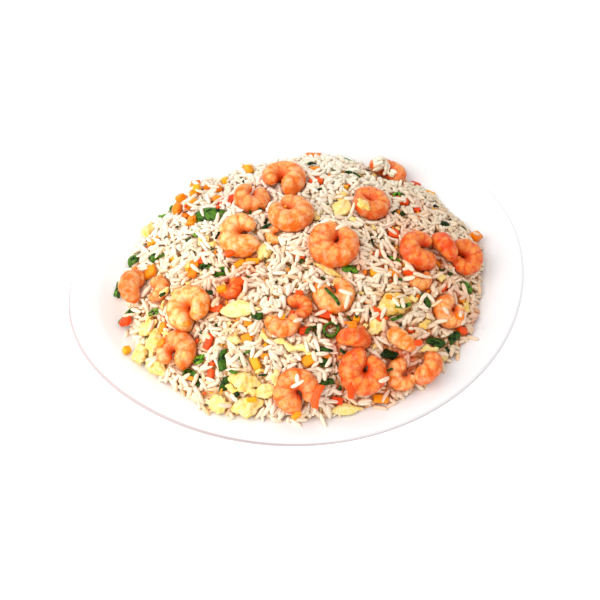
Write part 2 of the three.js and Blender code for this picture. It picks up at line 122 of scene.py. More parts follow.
# x, y, length, width, turn, form and shade, which runs from 0, nearly black, to 1, light.
SCALLIONS = [
    (-54, 47, 22, 10, 336, "blade", 0.3),
    (-108, 42, 9, 8, 9, "blade", 0.25),
    (-122, 22, 10, 6, 67, "blade", 0.35),
    (-119, -1, 12, 7, 20, "blade", 0.3),
    (-85, -59, 12, 6, 311, "blade", 0.3),
    (-65, -58, 12, 5, 74, "blade", 0.2),
    (-67, -71, 8, 5, 67, "blade", 0.12),
    (1, -58, 5, 10, 31, "ring", 0.3),
    (24, -21, 10, 6, 334, "blade", 0.45),
    (32, -78, 8, 7, 322, "blade", 0.03),
    (64, -73, 11, 7, 328, "blade", 0.15),
    (78, -71, 9, 6, 20, "blade", 0.12),
    (98, -38, 9, 7, 358, "blade", 0.45),
]

CORN_BIT = (-123, -28, 4.4, 4.4, 20)

# Small bits, some of which the part has as plain dice: x, y, length, width and turn.
CARROTS = [
    (-49, 93, 5, 5, 166), (-57, 87, 7, 7, 166), (-48, 64, 10, 3.5, 154),
    (-63, 66, 9, 4.9, 20), (-73, 68, 8, 4.9, 67), (-65, 48, 8, 5.4, 50),
    (-71, 8, 12, 5.8, 59), (-109, 33, 3.4, 3.4, 166), (-99, 23, 9, 8, 178),
    (32, 100, 12, 6.7, 172), (27, 74, 8, 5, 166), (49, -29, 8, 3.8, 154),
    (80, 15, 6, 4.8, 166), (121, 1, 6.6, 6.4, 9), (-97, -23, 7, 4.4, 67),
    (-49, -51, 6, 5.4, 166), (-41, -63, 5, 3, 166), (-87, -61, 7, 2.4, 154),
    (-46, -43, 5, 3.6, 166), (13, -62, 5, 4.2, 166), (-6, -72, 6.5, 2.4, 166),
    (-16, -72, 8, 6.5, 3), (-31, -101.5, 6, 3, 40), (21, -100, 9, 4.8, 160),
    (92, -47, 4, 3.9, 166), (83, -63, 5, 3.9, 166), (-57, -17, 6, 3.7, 166),
    (-99, -38, 5, 3.8, 20), (-82, -33, 4, 3.1, 166), (41, -46, 4, 2.5, 166),
    (18, -55, 4, 3, 166), (-59, 77, 6, 5.4, 30), (-68, 59, 6, 5.4, 150),
    (-69, 80, 5.4, 5, 40), (-50, 82, 5.4, 5, 100), (-43, 76, 5, 4.6, 20),
]
RED_CARROTS = [
    (-42, 56, 12, 4.8, 152), (-36, 58, 8, 5.6, 31), (-65, 13, 6, 5.2, 166),
    (-47, 7, 6, 3.8, 9), (23, 59, 9, 6.2, 166), (-5, -6, 5.6, 4.4, 166),
    (60, 2, 7, 6.6, 166), (44, -14, 6, 3.8, 20), (76, 32, 10, 5.5, 160),
    (99, 61, 7, 4.5, 166), (85, 25, 5, 4.2, 166), (-120, -6, 7, 6, 166),
    (-71, -44, 10, 3.7, 59), (-74, -63, 6, 3.6, 59), (0, -48, 8, 4.8, 160),
    (31, -55, 9, 4.9, 67), (-18, -96, 14, 4.2, 72), (3, -96, 11, 3.6, 80),
    (-5, -96, 7, 4.2, 154), (81, -40, 7, 3.2, 20), (85, -67, 6, 4.5, 166),
    (59, -30, 6, 5.1, 166), (-15, -55, 5.4, 4.2, 166), (-63, -26, 8, 5.5, 154),
    (-45, -15, 9, 5, 9), (50, -66, 4.3, 3.1, 166), (49, -79, 5.5, 3.7, 166),
    (-12, -33, 5, 3, 166), (-30, -32, 4.2, 3, 166),
]
CORN = [
    (-19, 91, 7.6, 7, 166), (-36, 85, 4.6, 4.6, 166), (-57, 77, 5, 4.6, 166),
    (-71, 47, 4.1, 3.4, 166), (-93, 48, 9.3, 4.8, 15), (-82, 24, 5.3, 4, 166),
    (-43, 2, 9.2, 3.8, 15), (-34, 1, 8.9, 3.8, 160), (38, -27, 5.6, 5, 166),
    (105, 48, 7.5, 5.9, 142), (100, 28, 3.6, 3.6, 166), (-47, -65, 9.1, 4.8, 93),
    (-54, -85, 6, 3, 166), (-26, -47, 3.6, 3.6, 166), (-83, 18, 3.9, 3.3, 166),
    (41, 49, 4.1, 3.4, 166),
]

# x, y, length, width, turn and shade.
SMALL_SCALLIONS = [
    (-63, 36, 8, 6.6, 9, 0.75), (-93, 32, 9, 5.4, 9, 0.3), (-63, 7, 7, 5.1, 166, 0.3),
    (-54, -1, 9, 5.7, 172, 0.3), (-101, -8, 8, 2.2, 160, 0.5), (-101, -12, 6, 2, 160, 0.5),
    (-79, -52, 6, 5.5, 166, 0.75), (-40, -40, 6.6, 4.8, 166, 0.15), (-5, -69, 7, 4.2, 172, 0.15),
    (-7, -76, 6.5, 5.4, 166, 0.15), (-9, -86, 9, 4.8, 172, 0.15), (6, -42, 13.7, 2.3, 109, 0.25),
    (51, 64, 10.7, 4.3, 154, 0.2), (56, 89, 9, 2.2, 160, 0.7), (75, 37, 10, 4.2, 26, 0.75),
    (48, -53, 10, 3.1, 3, 0.4), (43, -58, 8, 2.5, 9, 0.25), (65, -49, 10, 3.8, 102, 0.15),
    (53, -19, 8, 3.8, 148, 0.7), (48, 0, 6, 3.2, 154, 0.02), (43, -5, 6, 1.8, 106, 0.02),
    (73, 20, 7, 3.4, 50, 0.05), (101, 11, 6.3, 4.2, 178, 0.02), (109, 19, 4.6, 2.1, 31, 0.02),
    (-77, 75, 6, 2.5, 59, 0.55), (-84, 72, 6.5, 2.9, 154, 0.6), (-68, 58, 3.4, 2.8, 166, 0.02),
    (-52, 20, 4.6, 1.9, 67, 0.02), (25, 78, 5.7, 2.9, 166, 0.03), (65, 74, 6.9, 2.9, 20, 0.05),
    (72, -79, 6.4, 3.2, 111, 0.05), (-62, -80, 4.8, 3, 50, 0.03), (-39, -11, 3.7, 1.9, 166, 0.2),
    (-93, -5, 4, 2.6, 20, 0.05), (-75, 51, 3.5, 1.7, 9, 0.2), (101, 29, 4.3, 2.1, 178, 0.03),
    (-13, -57, 4.4, 2.4, 20, 0.2), (-54, -62, 8, 1.8, 111, 0.4), (-50, -59, 5.5, 1.5, 9, 0.4),
    (-61, -67, 4.8, 1.8, 166, 0.4), (48, -17, 3.6, 1.9, 50, 0.02), (52, -34, 3.1, 1.9, 166, 0.2),
    (29, -89, 3, 1.8, 166, 0.2),
]
SMALL_EGGS = [
    (14, 24, 10, 5.9, 59), (-92, -2, 8, 5.1, 20), (-95, -8, 9, 2.6, 59), (-61, 27, 8.2, 5.9, 20),
    (-56, 21, 6.5, 5.2, 166), (-73, 12, 6.1, 7.8, 67), (81, -33, 7.8, 5.9, 166),
    (60, -63, 9.1, 5, 15), (58, -79, 12.5, 4.4, 178), (93, -53, 10.1, 5.2, 67),
    (37, 16, 6.6, 4.6, 166), (-56, -50, 6.4, 8.4, 67), (-58, -39, 5.4, 3.6, 166),
    (-38, -79, 9.9, 5.4, 72), (-84, -3, 9.2, 5.1, 9), (-53, -80, 8.3, 4.8, 166),
    (26, -73, 6.2, 3, 9), (57, -48, 6.3, 3.8, 166), (26, -38, 3.7, 3.1, 166),
    (68, -82, 6.3, 3.2, 178), (-67, 5, 5.8, 2.6, 148),
    (-104, -11, 5.8, 3.9, 166), (-96, -32, 4.4, 3.8, 166), (-64, -75, 9.8, 3.6, 142),
    (-46, -70, 4.9, 3.6, 9), (44, 20, 11, 7, 110), (36, 40, 9, 6.4, 40),
]

# ---- The platter and the mound as surfaces ----


def columns(*parts):
    """Numbers and arrays of a like shape side by side, along a last axis."""
    return np.stack(np.broadcast_arrays(*parts), -1)


def egg_points(turn):
    """The platter's outline at turns round it."""
    swell = 1 + EGG_SHARE * np.cos(3 * (turn - math.radians(EGG_TURN)))
    x = PLATTER_LENGTH / 2 * swell * np.cos(turn)
    return columns(x, PLATTER_WIDTH / 2 * swell * np.sin(turn))


OUTLINE = egg_points(np.arange(360) * TAU / 360)
SHIFT = np.append(-(OUTLINE.min(0) + OUTLINE.max(0)) / 2, 0)


def rim_points(turn, inset, z):
    """Points at turns round the platter, the given distance inside its lip."""
    step = TAU / 360
    along = egg_points(turn + step) - egg_points(turn - step)
    along /= np.linalg.norm(along, axis=-1, keepdims=True)
    at = egg_points(turn) + inset * columns(-along[..., 1], along[..., 0])
    return columns(at[..., 0], at[..., 1], z)


SHOULDER_FOOT = RIM_WIDTH + SHOULDER_WIDTH

# Inset from the lip and height, from the lip to the well.
UPPER_FACE = [
    (0.8, RIM_HEIGHT - 0.7),
    (2.6, RIM_HEIGHT),
    (RIM_WIDTH, RIM_HEIGHT - RIM_FALL),
    (RIM_WIDTH + SHOULDER_WIDTH * 0.3, RIM_HEIGHT - RIM_FALL - 3.8),
    (RIM_WIDTH + SHOULDER_WIDTH * 0.7, WELL_HEIGHT + 2.4),
    (SHOULDER_FOOT, WELL_HEIGHT + 0.5),
    (SHOULDER_FOOT + 8, WELL_HEIGHT),
]

# The same from the middle of the underside out to the lip.
UNDER_FACE = [
    (FOOT_INSET + FOOT_WIDTH + 1, FOOT_HEIGHT),
    (FOOT_INSET + FOOT_WIDTH, 0),
    (FOOT_INSET, 0),
    (FOOT_INSET - 1, FOOT_HEIGHT),
    (SHOULDER_FOOT - 4, WELL_HEIGHT - WALL + 0.6),
    (RIM_WIDTH + SHOULDER_WIDTH * 0.45, WELL_HEIGHT - 0.5),
    (RIM_WIDTH + 1, RIM_HEIGHT - RIM_FALL - WALL),
    (3, RIM_HEIGHT - WALL + 0.6),
    (0.8, RIM_HEIGHT - WALL + 1.4),
    (0, RIM_HEIGHT - WALL / 2),
]


def inset_at(x, y):
    """Distance inside the lip."""
    places = columns(np.ravel(x), np.ravel(y)).astype(float)
    found = [
        np.linalg.norm(part[:, None] - OUTLINE, axis=-1).min(1)
        for part in np.array_split(places, max(1, len(places) // 4000))
    ]
    return np.concatenate(found).reshape(np.shape(x))


def platter_top(x, y):
    return np.interp(inset_at(x, y), *zip(*UPPER_FACE))


def ragged_reach(turn):
    """Distance from the mound's middle to its ragged edge, which stays clear of the lip."""
    ragged = 1 + 0.014 * math.sin(5 * turn + 1) + 0.01 * math.sin(11 * turn + 2)
    reach = ragged / math.hypot(
        math.cos(turn) / (HEAP_LENGTH / 2), math.sin(turn) / (HEAP_WIDTH / 2)
    )
    while inset_at(reach * math.cos(turn), reach * math.sin(turn)) < HEAP_CLEAR_OF_LIP:
        reach -= 0.5
    return reach


REACH_TURNS = np.linspace(-math.pi, math.pi, 361)
REACHES = np.array([ragged_reach(turn) for turn in REACH_TURNS])


def heap_share(x, y):
    """Distance from the mound's middle as a share of the way to its edge."""
    return np.hypot(x, y) / np.interp(np.arctan2(y, x), REACH_TURNS, REACHES)


def heap_top(x, y):
    turn = np.arctan2(y, x)
    reach = np.interp(turn, REACH_TURNS, REACHES)
    fall = np.minimum(1, np.hypot(x, y) / reach) ** HEAP_FULLNESS
    foot = platter_top(reach * np.cos(turn), reach * np.sin(turn)) + SEAT_GAP
    lumps = np.sin(x / 17 + 1) * np.cos(y / 14) + 0.6 * np.sin((x + 2 * y) / 21)
    top = (WELL_HEIGHT + HEAP_HEIGHT) * (1 - fall) + foot * fall
    return top + LUMP_HEIGHT * lumps * (1 - fall)


def seat(x, y, turn, lean=0.0, lift=0.0, top=heap_top, reach=9.0):
    """The matrix of a place on a surface: local Z stands out of it, local X points to turn."""
    slope_x = (top(x + reach, y) - top(x - reach, y)) / (2 * reach)
    slope_y = (top(x, y + reach) - top(x, y - reach)) / (2 * reach)
    normal = Vector((-slope_x, -slope_y, 1)).normalized()
    facing = Vector((0, 0, 1)).rotation_difference(normal)
    facing @= Quaternion((0, 0, 1), math.radians(turn))
    facing @= Quaternion((1, 0, 0), math.radians(lean))
    place = Vector((x, y, float(top(x, y)))) + normal * lift
    return np.array(Matrix.Translation(place) @ facing.to_matrix().to_4x4())


def placed(points, matrix):
    return points @ matrix[:3, :3].T + matrix[:3, 3]


def at_node(points, node):
    """The points moved up or down so that they lie as high as the CAD node."""
    low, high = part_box(node)
    middle = (low.z + high.z) / 2 / MM
    return points + [0, 0, middle - (points[:, 2].min() + points[:, 2].max()) / 2]


# ---- Meshes ----


def linked(name, data):
    """A new object in the scene."""
    made = bpy.data.objects.new(name, data)
    bpy.context.scene.collection.objects.link(made)
    return made


class Batch:
    """Skins gathered into one piece, with the same named values on every point."""

    def __init__(self):
        self.points, self.faces, self.values = [], [], {}
        self.count = 0

    def add(self, points, faces, **values):
        self.points.append(points)
        self.faces.extend(part + self.count for part in faces)
        for name, value in values.items():
            self.values.setdefault(name, []).append(np.broadcast_to(value, len(points)))
        self.count += len(points)

    def lay(self, points, faces, matrix, spill, node=None, **values):
        """Adds a skin at its place, as high as its CAD node, and marks its room on the maps."""
        points = placed(points, matrix)
        if node:
            points = at_node(points, node)
        block(points, faces, spill)
        self.add(points, faces, **values)

    def piece(self, name, look, slot, *replaced):
        mesh = bpy.data.meshes.new(name)
        points = (np.concatenate(self.points) + SHIFT) * MM
        faces = [face for part in self.faces for face in part.tolist()]
        mesh.from_pydata(points.tolist(), [], faces)
        for value_name, parts in self.values.items():
            attribute = mesh.attributes.new(value_name, "FLOAT", "POINT")
            attribute.data.foreach_set("value", np.concatenate(parts).astype(np.float32))
        mesh.shade_smooth()
        mesh.materials.append(look)
        made = linked(name, mesh)
        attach(made, "root")
        for node in replaced:
            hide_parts(node)


def ring_turns(sides):
    return TAU * (np.arange(sides) + 0.5) / sides


def skin(rings, first, last):
    """Points and faces of a closed skin through equal rings, with a point at each end. The rings
    run the right-handed way about the direction from the first to the last."""
    count, sides = rings.shape[:2]
    points = np.concatenate([rings.reshape(-1, 3), [first], [last]])
    side = np.arange(sides)
    after = (side + 1) % sides
    start = np.arange(count - 1)[:, None] * sides
    quads = columns(start + side, start + after, start + sides + after, start + sides + side)
    end = (count - 1) * sides
    head = columns(count * sides, after, side)
    tail = columns(count * sides + 1, end + side, end + after)
    return points, [quads.reshape(-1, 4), head, tail]


DOME_BOWS = np.radians([28, 52, 74])  # where the rings of a body's end domes lie


def body(centres, wide, high, a, b, sides, end_reach):
    """A skin about a line: wide and high are directions for each ring, a and b half sizes, as a
    column with one for each ring or a table with one for each point. The ends are domes."""
    t = ring_turns(sides)
    across = wide[:, None] * (a * np.cos(t))[..., None]
    rings = centres[:, None] + across + high[:, None] * (b * np.sin(t))[..., None]
    domes = []
    for end, way in ((0, -1), (-1, 1)):
        ahead = np.cross(wide[end], high[end]) * way
        middle = rings[end].mean(0)
        dome = [
            middle + (rings[end] - middle) * math.cos(bow) + ahead * end_reach * math.sin(bow)
            for bow in DOME_BOWS
        ]
        domes.append((dome, middle + ahead * end_reach))
    (front, front_tip), (back, back_tip) = domes
    return skin(np.array(front[::-1] + list(rings) + back), front_tip, back_tip)


def along_body(values):
    """Values for each ring, lengthened over a body's end domes and tips."""
    count = len(DOME_BOWS)
    rings = np.concatenate([[values[0]] * count, values, [values[-1]] * count])
    return np.append(rings.ravel(), [rings[0].mean(), rings[-1].mean()])


def bell(x):
    return np.exp(-(x**2))


def turbulence(points, size, seed, depth=2):
    """Smooth noise from about -1 to 1 over points, with features of the given size."""
    offset = Vector((seed * 7.13, seed * 3.71, seed * 5.37))
    return np.array(
        [noise.fractal(Vector(p) / size + offset, 1.0, 2.0, depth) for p in points.tolist()]
    )


# ---- Height maps that the grains settle on ----

CELL = 0.7
HALF_X, HALF_Y = 152.0, 126.0
GRID_X, GRID_Y = np.meshgrid(
    np.arange(-HALF_X, HALF_X + CELL, CELL), np.arange(-HALF_Y, HALF_Y + CELL, CELL)
)
GRAIN_DEPTH = 3.2  # of loose grains over the core
BED_REACH = 0.97  # of the mound where it has such depth, as a share of its own

heap_map = heap_top(GRID_X, GRID_Y)
share_map = heap_share(GRID_X, GRID_Y)
dish_map = platter_top(GRID_X, GRID_Y)
bed_map = np.maximum(heap_map - GRAIN_DEPTH, dish_map)
core_map = np.where(share_map < BED_REACH, bed_map, dish_map)
low_map = np.full(GRID_X.shape, np.inf)  # undersides of the toppings
high_map = np.full(GRID_X.shape, -np.inf)  # and their tops
spill_map = np.zeros(GRID_X.shape)  # how readily a grain lies on the topping


def cells(x, y):
    row = np.clip(np.rint((y + HALF_Y) / CELL).astype(int), 0, GRID_X.shape[0] - 1)
    column = np.clip(np.rint((x + HALF_X) / CELL).astype(int), 0, GRID_X.shape[1] - 1)
    return row, column


def block(points, faces, spill):
    """Marks a topping's room on the maps. spill is one value, or one for each point."""
    spills = np.broadcast_to(spill, len(points))
    weights = np.linspace(0, 1, 4)
    for part in faces:
        corners = points[part]
        for u in weights:
            for v in weights:
                if part.shape[1] == 4:
                    near = corners[:, 0] * (1 - u) + corners[:, 1] * u
                    far = corners[:, 3] * (1 - u) + corners[:, 2] * u
                    at = near * (1 - v) + far * v
                else:
                    side = corners[:, 1] * (1 - v) + corners[:, 2] * v
                    at = corners[:, 0] * (1 - u) + side * u
                here = cells(at[:, 0], at[:, 1])
                np.minimum.at(low_map, here, at[:, 2])
                np.maximum.at(high_map, here, at[:, 2])
                spill_map[here] = spills[part[:, 0]]


def near_toppings(distance):
    """Which cells lie within a distance of a topping."""
    steps = round(distance / CELL)
    taken = high_map > -np.inf
    near = taken.copy()
    for down in range(-steps, steps + 1):
        for right in range(-steps, steps + 1):
            if math.hypot(down, right) <= steps:
                near |= np.roll(taken, (down, right), (0, 1))
    return near


def resting_height(x, y):
    """Height of the topping at a place, or of the mound where there is none."""
    return np.maximum(heap_top(x, y), high_map[cells(x, y)])


# ---- Looks ----


def linear(colour):
    """An sRGB colour, 0 to 255, as the linear colour that shaders take."""
    share = [c / 255 for c in colour]
    return [c / 12.92 if c <= 0.04045 else ((c + 0.055) / 1.055) ** 2.4 for c in share] + [1.0]


class Look:
    """A material under construction. Its methods return the output of the node that they add.
    Sizes are millimetres, and colours sRGB from 0 to 255 or the output of a node."""

    def __init__(self, name):
        self.material = bpy.data.materials.new(name)
        self.material.use_nodes = True
        self.tree = self.material.node_tree
        self.shader = self.tree.nodes["Principled BSDF"]
        self.place = self.node("ShaderNodeTexCoord").outputs["Object"]

    def node(self, kind, **inputs):
        made = self.tree.nodes.new(kind)
        for name, value in inputs.items():
            self.feed(made.inputs[name.replace("_", " ")], value)
        return made

    def feed(self, socket, value):
        if isinstance(value, bpy.types.NodeSocket):
            self.tree.links.new(value, socket)
        else:
            socket.default_value = value

    def set(self, **inputs):
        for name, value in inputs.items():
            self.feed(self.shader.inputs[name.replace("_", " ")], value)

    def attributes(self, *names):
        """One output for each value that the points carry."""
        for name in names:
            made = self.tree.nodes.new("ShaderNodeAttribute")
            made.attribute_name = name
            yield made.outputs["Fac"]

    def noise(self, size, low=None, high=None, detail=3.0, moved=0):
        """Noise with features of a size, stretched where low and high are given. A second noise
        is moved sideways, so that it is unlike the first."""
        made = self.node("ShaderNodeTexNoise", Scale=1 / (size * MM), Detail=detail, Roughness=0.55)
        place = self.place
        if moved:
            shift = self.node("ShaderNodeVectorMath", Vector=place)
            shift.inputs[1].default_value = (moved * MM, moved * MM, 0)
            place = shift.outputs["Vector"]
        self.feed(made.inputs["Vector"], place)
        return made.outputs["Fac"] if low is None else self.ramp(made.outputs["Fac"], low, high)

    def crackle(self, size):
        """0 inside cells of the given size, 1 on the lines between them."""
        made = self.node("ShaderNodeTexVoronoi", Vector=self.place, Scale=1 / (size * MM))
        made.feature = "DISTANCE_TO_EDGE"
        return self.ramp(made.outputs["Distance"], 0.16, 0.0)

    def ramp(self, value, low, high):
        """The value stretched so that low becomes 0 and high 1."""
        made = self.node("ShaderNodeMapRange", Value=value, From_Min=low, From_Max=high)
        return made.outputs["Result"]

    def math(self, operation, a, b):
        made = self.tree.nodes.new("ShaderNodeMath")
        made.operation = operation
        self.feed(made.inputs[0], a)
        self.feed(made.inputs[1], b)
        return made.outputs[0]

    def times(self, a, b):
        return self.math("MULTIPLY", a, b)

    def plus(self, a, b):
        return self.math("ADD", a, b)

    def mix(self, share, a, b):
        made = self.tree.nodes.new("ShaderNodeMix")
        made.data_type = "RGBA"
        made.clamp_factor = True
        self.feed(made.inputs[0], share)
        for socket, colour in ((6, a), (7, b)):
            value = linear(colour) if isinstance(colour, tuple) else colour
            self.feed(made.inputs[socket], value)
        return made.outputs[2]

    def done(self, colour, rough, relief, soft=(0, 0, 0, 0), **more):
        """The finished material. Rough is what noise takes, relief a height with its depth and
        strength, and soft the share of light let in and its reach for red, green and blue."""
        height, depth, strength = relief
        bump = self.node("ShaderNodeBump", Height=height, Strength=strength, Distance=depth * MM)
        share, *reach = soft
        if share:
            more["Subsurface_Weight"] = share
            more["Subsurface_Radius"] = [distance * MM for distance in reach]
            more["Subsurface_Scale"] = 1.0
        normal = bump.outputs["Normal"]
        self.set(Base_Color=colour, Roughness=self.noise(*rough), Normal=normal, **more)
        return self.material


def glaze_look():
    look = Look("white_glaze")
    (bare,) = look.attributes("bare")
    white = look.mix(look.noise(60, 0.35, 0.7), (252, 253, 254), (250, 251, 252))
    return look.done(
        # Painted shade mixes the white towards a pinkish grey on the rim, the lip's edge and the
        # underside.
        look.mix(bare, white, (172, 156, 156)),
        rough=(25, -1.2, 4.5),
        relief=(look.noise(9, detail=2), 0.05, 0.5),
        Coat_Weight=0.6,
        Coat_Roughness=0.06,
    )


def rice_look(name, light, dark, relief):
    """Rice that is whiter on top and takes on the colour of the oil further down, a colour that
    also serves as painted shade between and under the grains.
    """
    look = Look(name)
    tint, sunk, sauce = look.attributes("tint", "sunk", "sauce")
    chalk = look.times(look.noise(1.6, 0.3, 0.7), 0.35)
    white = look.mix(chalk, look.mix(tint, light, dark), (255, 244, 230))
    # The oil's colour, which also serves as painted shade deep between the grains and under them.
    oil = look.mix(tint, (255, 210, 142), (208, 126, 54))
    return look.done(
        look.mix(sauce, look.mix(sunk, white, oil), (244, 104, 36)),
        rough=(2.2, -0.6, 2.0),
        relief=(look.noise(0.7), relief, 0.6),
        soft=(0.3, 1.2, 1.1, 0.9),
    )


def shrimp_look():
    look = Look("cooked_shrimp")
    band, curl_shade, tint = look.attributes("band", "curl_shade", "tint")
    patch = look.times(look.noise(5.5, 0.36, 0.62, 2), 0.5)
    lines = look.times(look.crackle(4.6), 0.4)
    pale = look.mix(tint, (252, 212, 136), (244, 130, 14))
    deep = look.mix(tint, (240, 134, 24), (218, 60, 0))
    # Painted shade: a deeper red inside the curl and a little in the creases.
    inside = look.mix(tint, (240, 112, 20), (208, 34, 0))
    flesh = look.mix(look.plus(look.plus(look.times(band, 0.55), patch), lines), pale, deep)
    # Pale flecks, partly painted highlight, more on the paler shrimps.
    fleck_highlight = look.times(look.noise(3.8, 0.46, 0.70, 2, 40), look.ramp(tint, 1.15, -0.55))
    fleck_highlighted = look.mix(fleck_highlight, flesh, (255, 222, 176))
    return look.done(
        look.mix(look.times(curl_shade, 0.85), fleck_highlighted, inside),
        rough=(1.8, -0.7, 2.1),
        relief=(look.plus(look.noise(1.4), look.noise(3.0)), 0.25, 0.6),
        soft=(0.12, 2.5, 1.0, 0.5),
        Specular_IOR_Level=0.2,
        Coat_Weight=0.12,
        Coat_Roughness=0.2,
    )


def egg_look():
    look = Look("scrambled_egg")
    (tint,) = look.attributes("tint")
    patch = look.times(look.noise(3.2, 0.38, 0.62), 0.6)
    yolk = look.mix(tint, (254, 230, 132), (246, 186, 56))
    return look.done(
        look.mix(patch, yolk, (255, 240, 190)),
        rough=(1.5, -1.4, 2.0),
        relief=(look.plus(look.noise(0.9), look.noise(2.0)), 0.6, 0.9),
        soft=(0.2, 2.0, 1.5, 0.6),
    )


def scallion_look():
    look = Look("scallion_leaf")
    shade, across = look.attributes("shade", "across")
    veins = look.node("ShaderNodeTexNoise", Scale=9.0, Detail=2.0)
    veins.noise_dimensions = "1D"
    look.feed(veins.inputs["W"], across)
    mottle = look.noise(2.4, 0.35, 0.7)
    dark = look.mix(mottle, (0, 12, 2), (4, 34, 6))
    light = look.mix(mottle, (74, 140, 16), (134, 184, 50))
    streaked = look.times(shade, look.noise(3.0, 0.4, 0.5, moved=20))
    leaf = look.mix(look.times(streaked, 1.5), dark, light)
    vein = look.times(look.ramp(veins.outputs["Fac"], 0.45, 0.7), 0.03)
    return look.done(
        look.mix(vein, leaf, (150, 190, 96)),
        rough=(1.4, -0.4, 2.4),
        relief=(veins.outputs["Fac"], 0.15, 0.6),
        soft=(0.08, 0.6, 1.2, 0.4),
        Specular_IOR_Level=0.12,
        Coat_Weight=0.02,
        Coat_Roughness=0.2,
    )


def vegetable_look(name, light, deep, pith):
    look = Look(name)
    (tint,) = look.attributes("tint")
    fibre = look.times(look.noise(1.3, 0.35, 0.68), 0.3)
    return look.done(
        look.mix(fibre, look.mix(tint, light, deep), pith),
        rough=(1.7, -0.5, 2.3),
        relief=(look.noise(0.6), 0.18, 0.6),
        soft=(0.2, 2.0, 1.0, 0.4),
        Specular_IOR_Level=0.25,
        Coat_Weight=0.05,
        Coat_Roughness=0.2,
    )


def table_look():
    look = Look("studio_floor")
    look.set(
        Base_Color=look.mix(look.noise(400), (250, 250, 250), (254, 254, 254)),
        Roughness=look.noise(90, -4.0, 1.2),
        Specular_IOR_Level=0.2,
        Emission_Color=(1, 1, 1, 1),
        Emission_Strength=0.5,
    )
    return look.material


GLAZE = glaze_look()
RICE = rice_look("cooked_rice", (252, 243, 228), (228, 216, 184), 0.10)
# The bed shows only deep between the grains, and its warm colour is partly painted shade.
RICE_BED = rice_look("rice_bed", (255, 224, 166), (246, 176, 96), 0.35)
SHRIMP = shrimp_look()
EGG = egg_look()
SCALLION = scallion_look()
CARROT = vegetable_look("carrot", (252, 154, 0), (246, 112, 0), (255, 178, 20))
RED_CARROT = vegetable_look("red_carrot", (248, 84, 0), (236, 58, 0), (250, 120, 20))
YELLOW = vegetable_look("corn", (244, 172, 0), (238, 148, 0), (248, 196, 40))

# ---- The platter ----


def rounded(profile, times=3):
    """A line of points with its corners cut finer and finer."""
    line = np.array(profile, float)
    for _ in range(times):
        near = line[:-1] * 0.75 + line[1:] * 0.25
        far = line[:-1] * 0.25 + line[1:] * 0.75
        line = np.concatenate([line[:1], np.stack([near, far], 1).reshape(-1, 2), line[-1:]])
    return line


# Painted shade on the glaze: darker on the rim, and most of all round the lip's outer edge and on
# the underside.
RIM_SHADES = [(1, 2.5, RIM_WIDTH, RIM_WIDTH + 10), (0.5, 0.26, 0.2, 0)]  # by inset
RIM_SHADE_TURN = math.radians(202)  # where the rim is darkest
RIM_SHADE_SHARE, RIM_SHADE_SWING = 0.8, 0.2  # how dark it is on the whole, and how much more there
# The lip's dark line is painted shade, reaching furthest in towards the left.
LIP_LINE, LIP_LINE_LEAST, LIP_LINE_EDGE = 2.1, 0.4, 0.6  # how far in the lip's dark line goes


def platter_piece():
    turn = np.arange(PLATTER_SEGMENTS) * TAU / PLATTER_SEGMENTS
    profile = rounded(UNDER_FACE + UPPER_FACE)
    rings = np.array([rim_points(turn, inset, z) for inset, z in profile])
    points, faces = skin(rings, (0, 0, FOOT_HEIGHT), (0, 0, WELL_HEIGHT))
    # Painted shade: full on the underside, over the rim by inset, and stronger towards the left.
    under = np.arange(len(profile)) <= profile[:, 0].argmin() + 2
    toward = np.cos(turn - RIM_SHADE_TURN)
    line = LIP_LINE * np.maximum(toward, LIP_LINE_LEAST) + LIP_LINE_EDGE
    bare = np.where(under, 1.0, np.interp(profile[:, 0], *RIM_SHADES))[:, None]
    bare = np.maximum(bare, np.clip(line - profile[:, :1], 0, 1))
    bare = bare * (RIM_SHADE_SHARE + RIM_SHADE_SWING * toward)
    batch = Batch()
    batch.add(points, faces, bare=np.append(bare, [0.5, 0]))
    batch.piece("platter_glazed", GLAZE, "glaze", "platter")


# ---- Shrimps ----

# Half the thickness of a shrimp's body, how much the curl tightens and how far the tail climbs,
# as shares of the width of the curl.
SHRIMP_BODY, SHRIMP_SPIRAL, SHRIMP_CLIMB = 0.238, 0.13, 0.1
SHRIMP_FLATNESS = 0.94  # its thickness sideways as a share of that from back to belly
SHRIMP_LIFT = 0.07  # as a share of the width of the curl
SHRIMP_ENDS = 0.34  # reach of the rounded ends, as a share of half the thickness
SHRIMP_LUMPS, SHRIMP_LUMP_SIZE = 0.03, 5.5
# The way along the body, and how thick it is there.
SHRIMP_TAPER = [(0, 0.08, 0.25, 0.5, 0.75, 0.92, 1), (0.86, 0.97, 1, 0.96, 0.87, 0.7, 0.52)]
SHRIMP_SIDES, SHRIMP_RINGS = 22, 66
SHRIMP_SEGMENTS, SEGMENTS_ARC = 7.6, 300  # so many in an arc of so many degrees
SEGMENT_SLANT = 0.3  # how far back a crease runs on the belly, as a share of a segment
CREASE_DEPTH, SEGMENT_BULGE = 0.028, 0.045  # as shares of the body's thickness
VEIN_CUT = [(0, 0.05, 0.7, 0.85), (0.4, 1, 1, 0)]  # along the back, where the vein was taken out
CUT_DEPTH, CUT_WIDTH = 0.045, 0.22


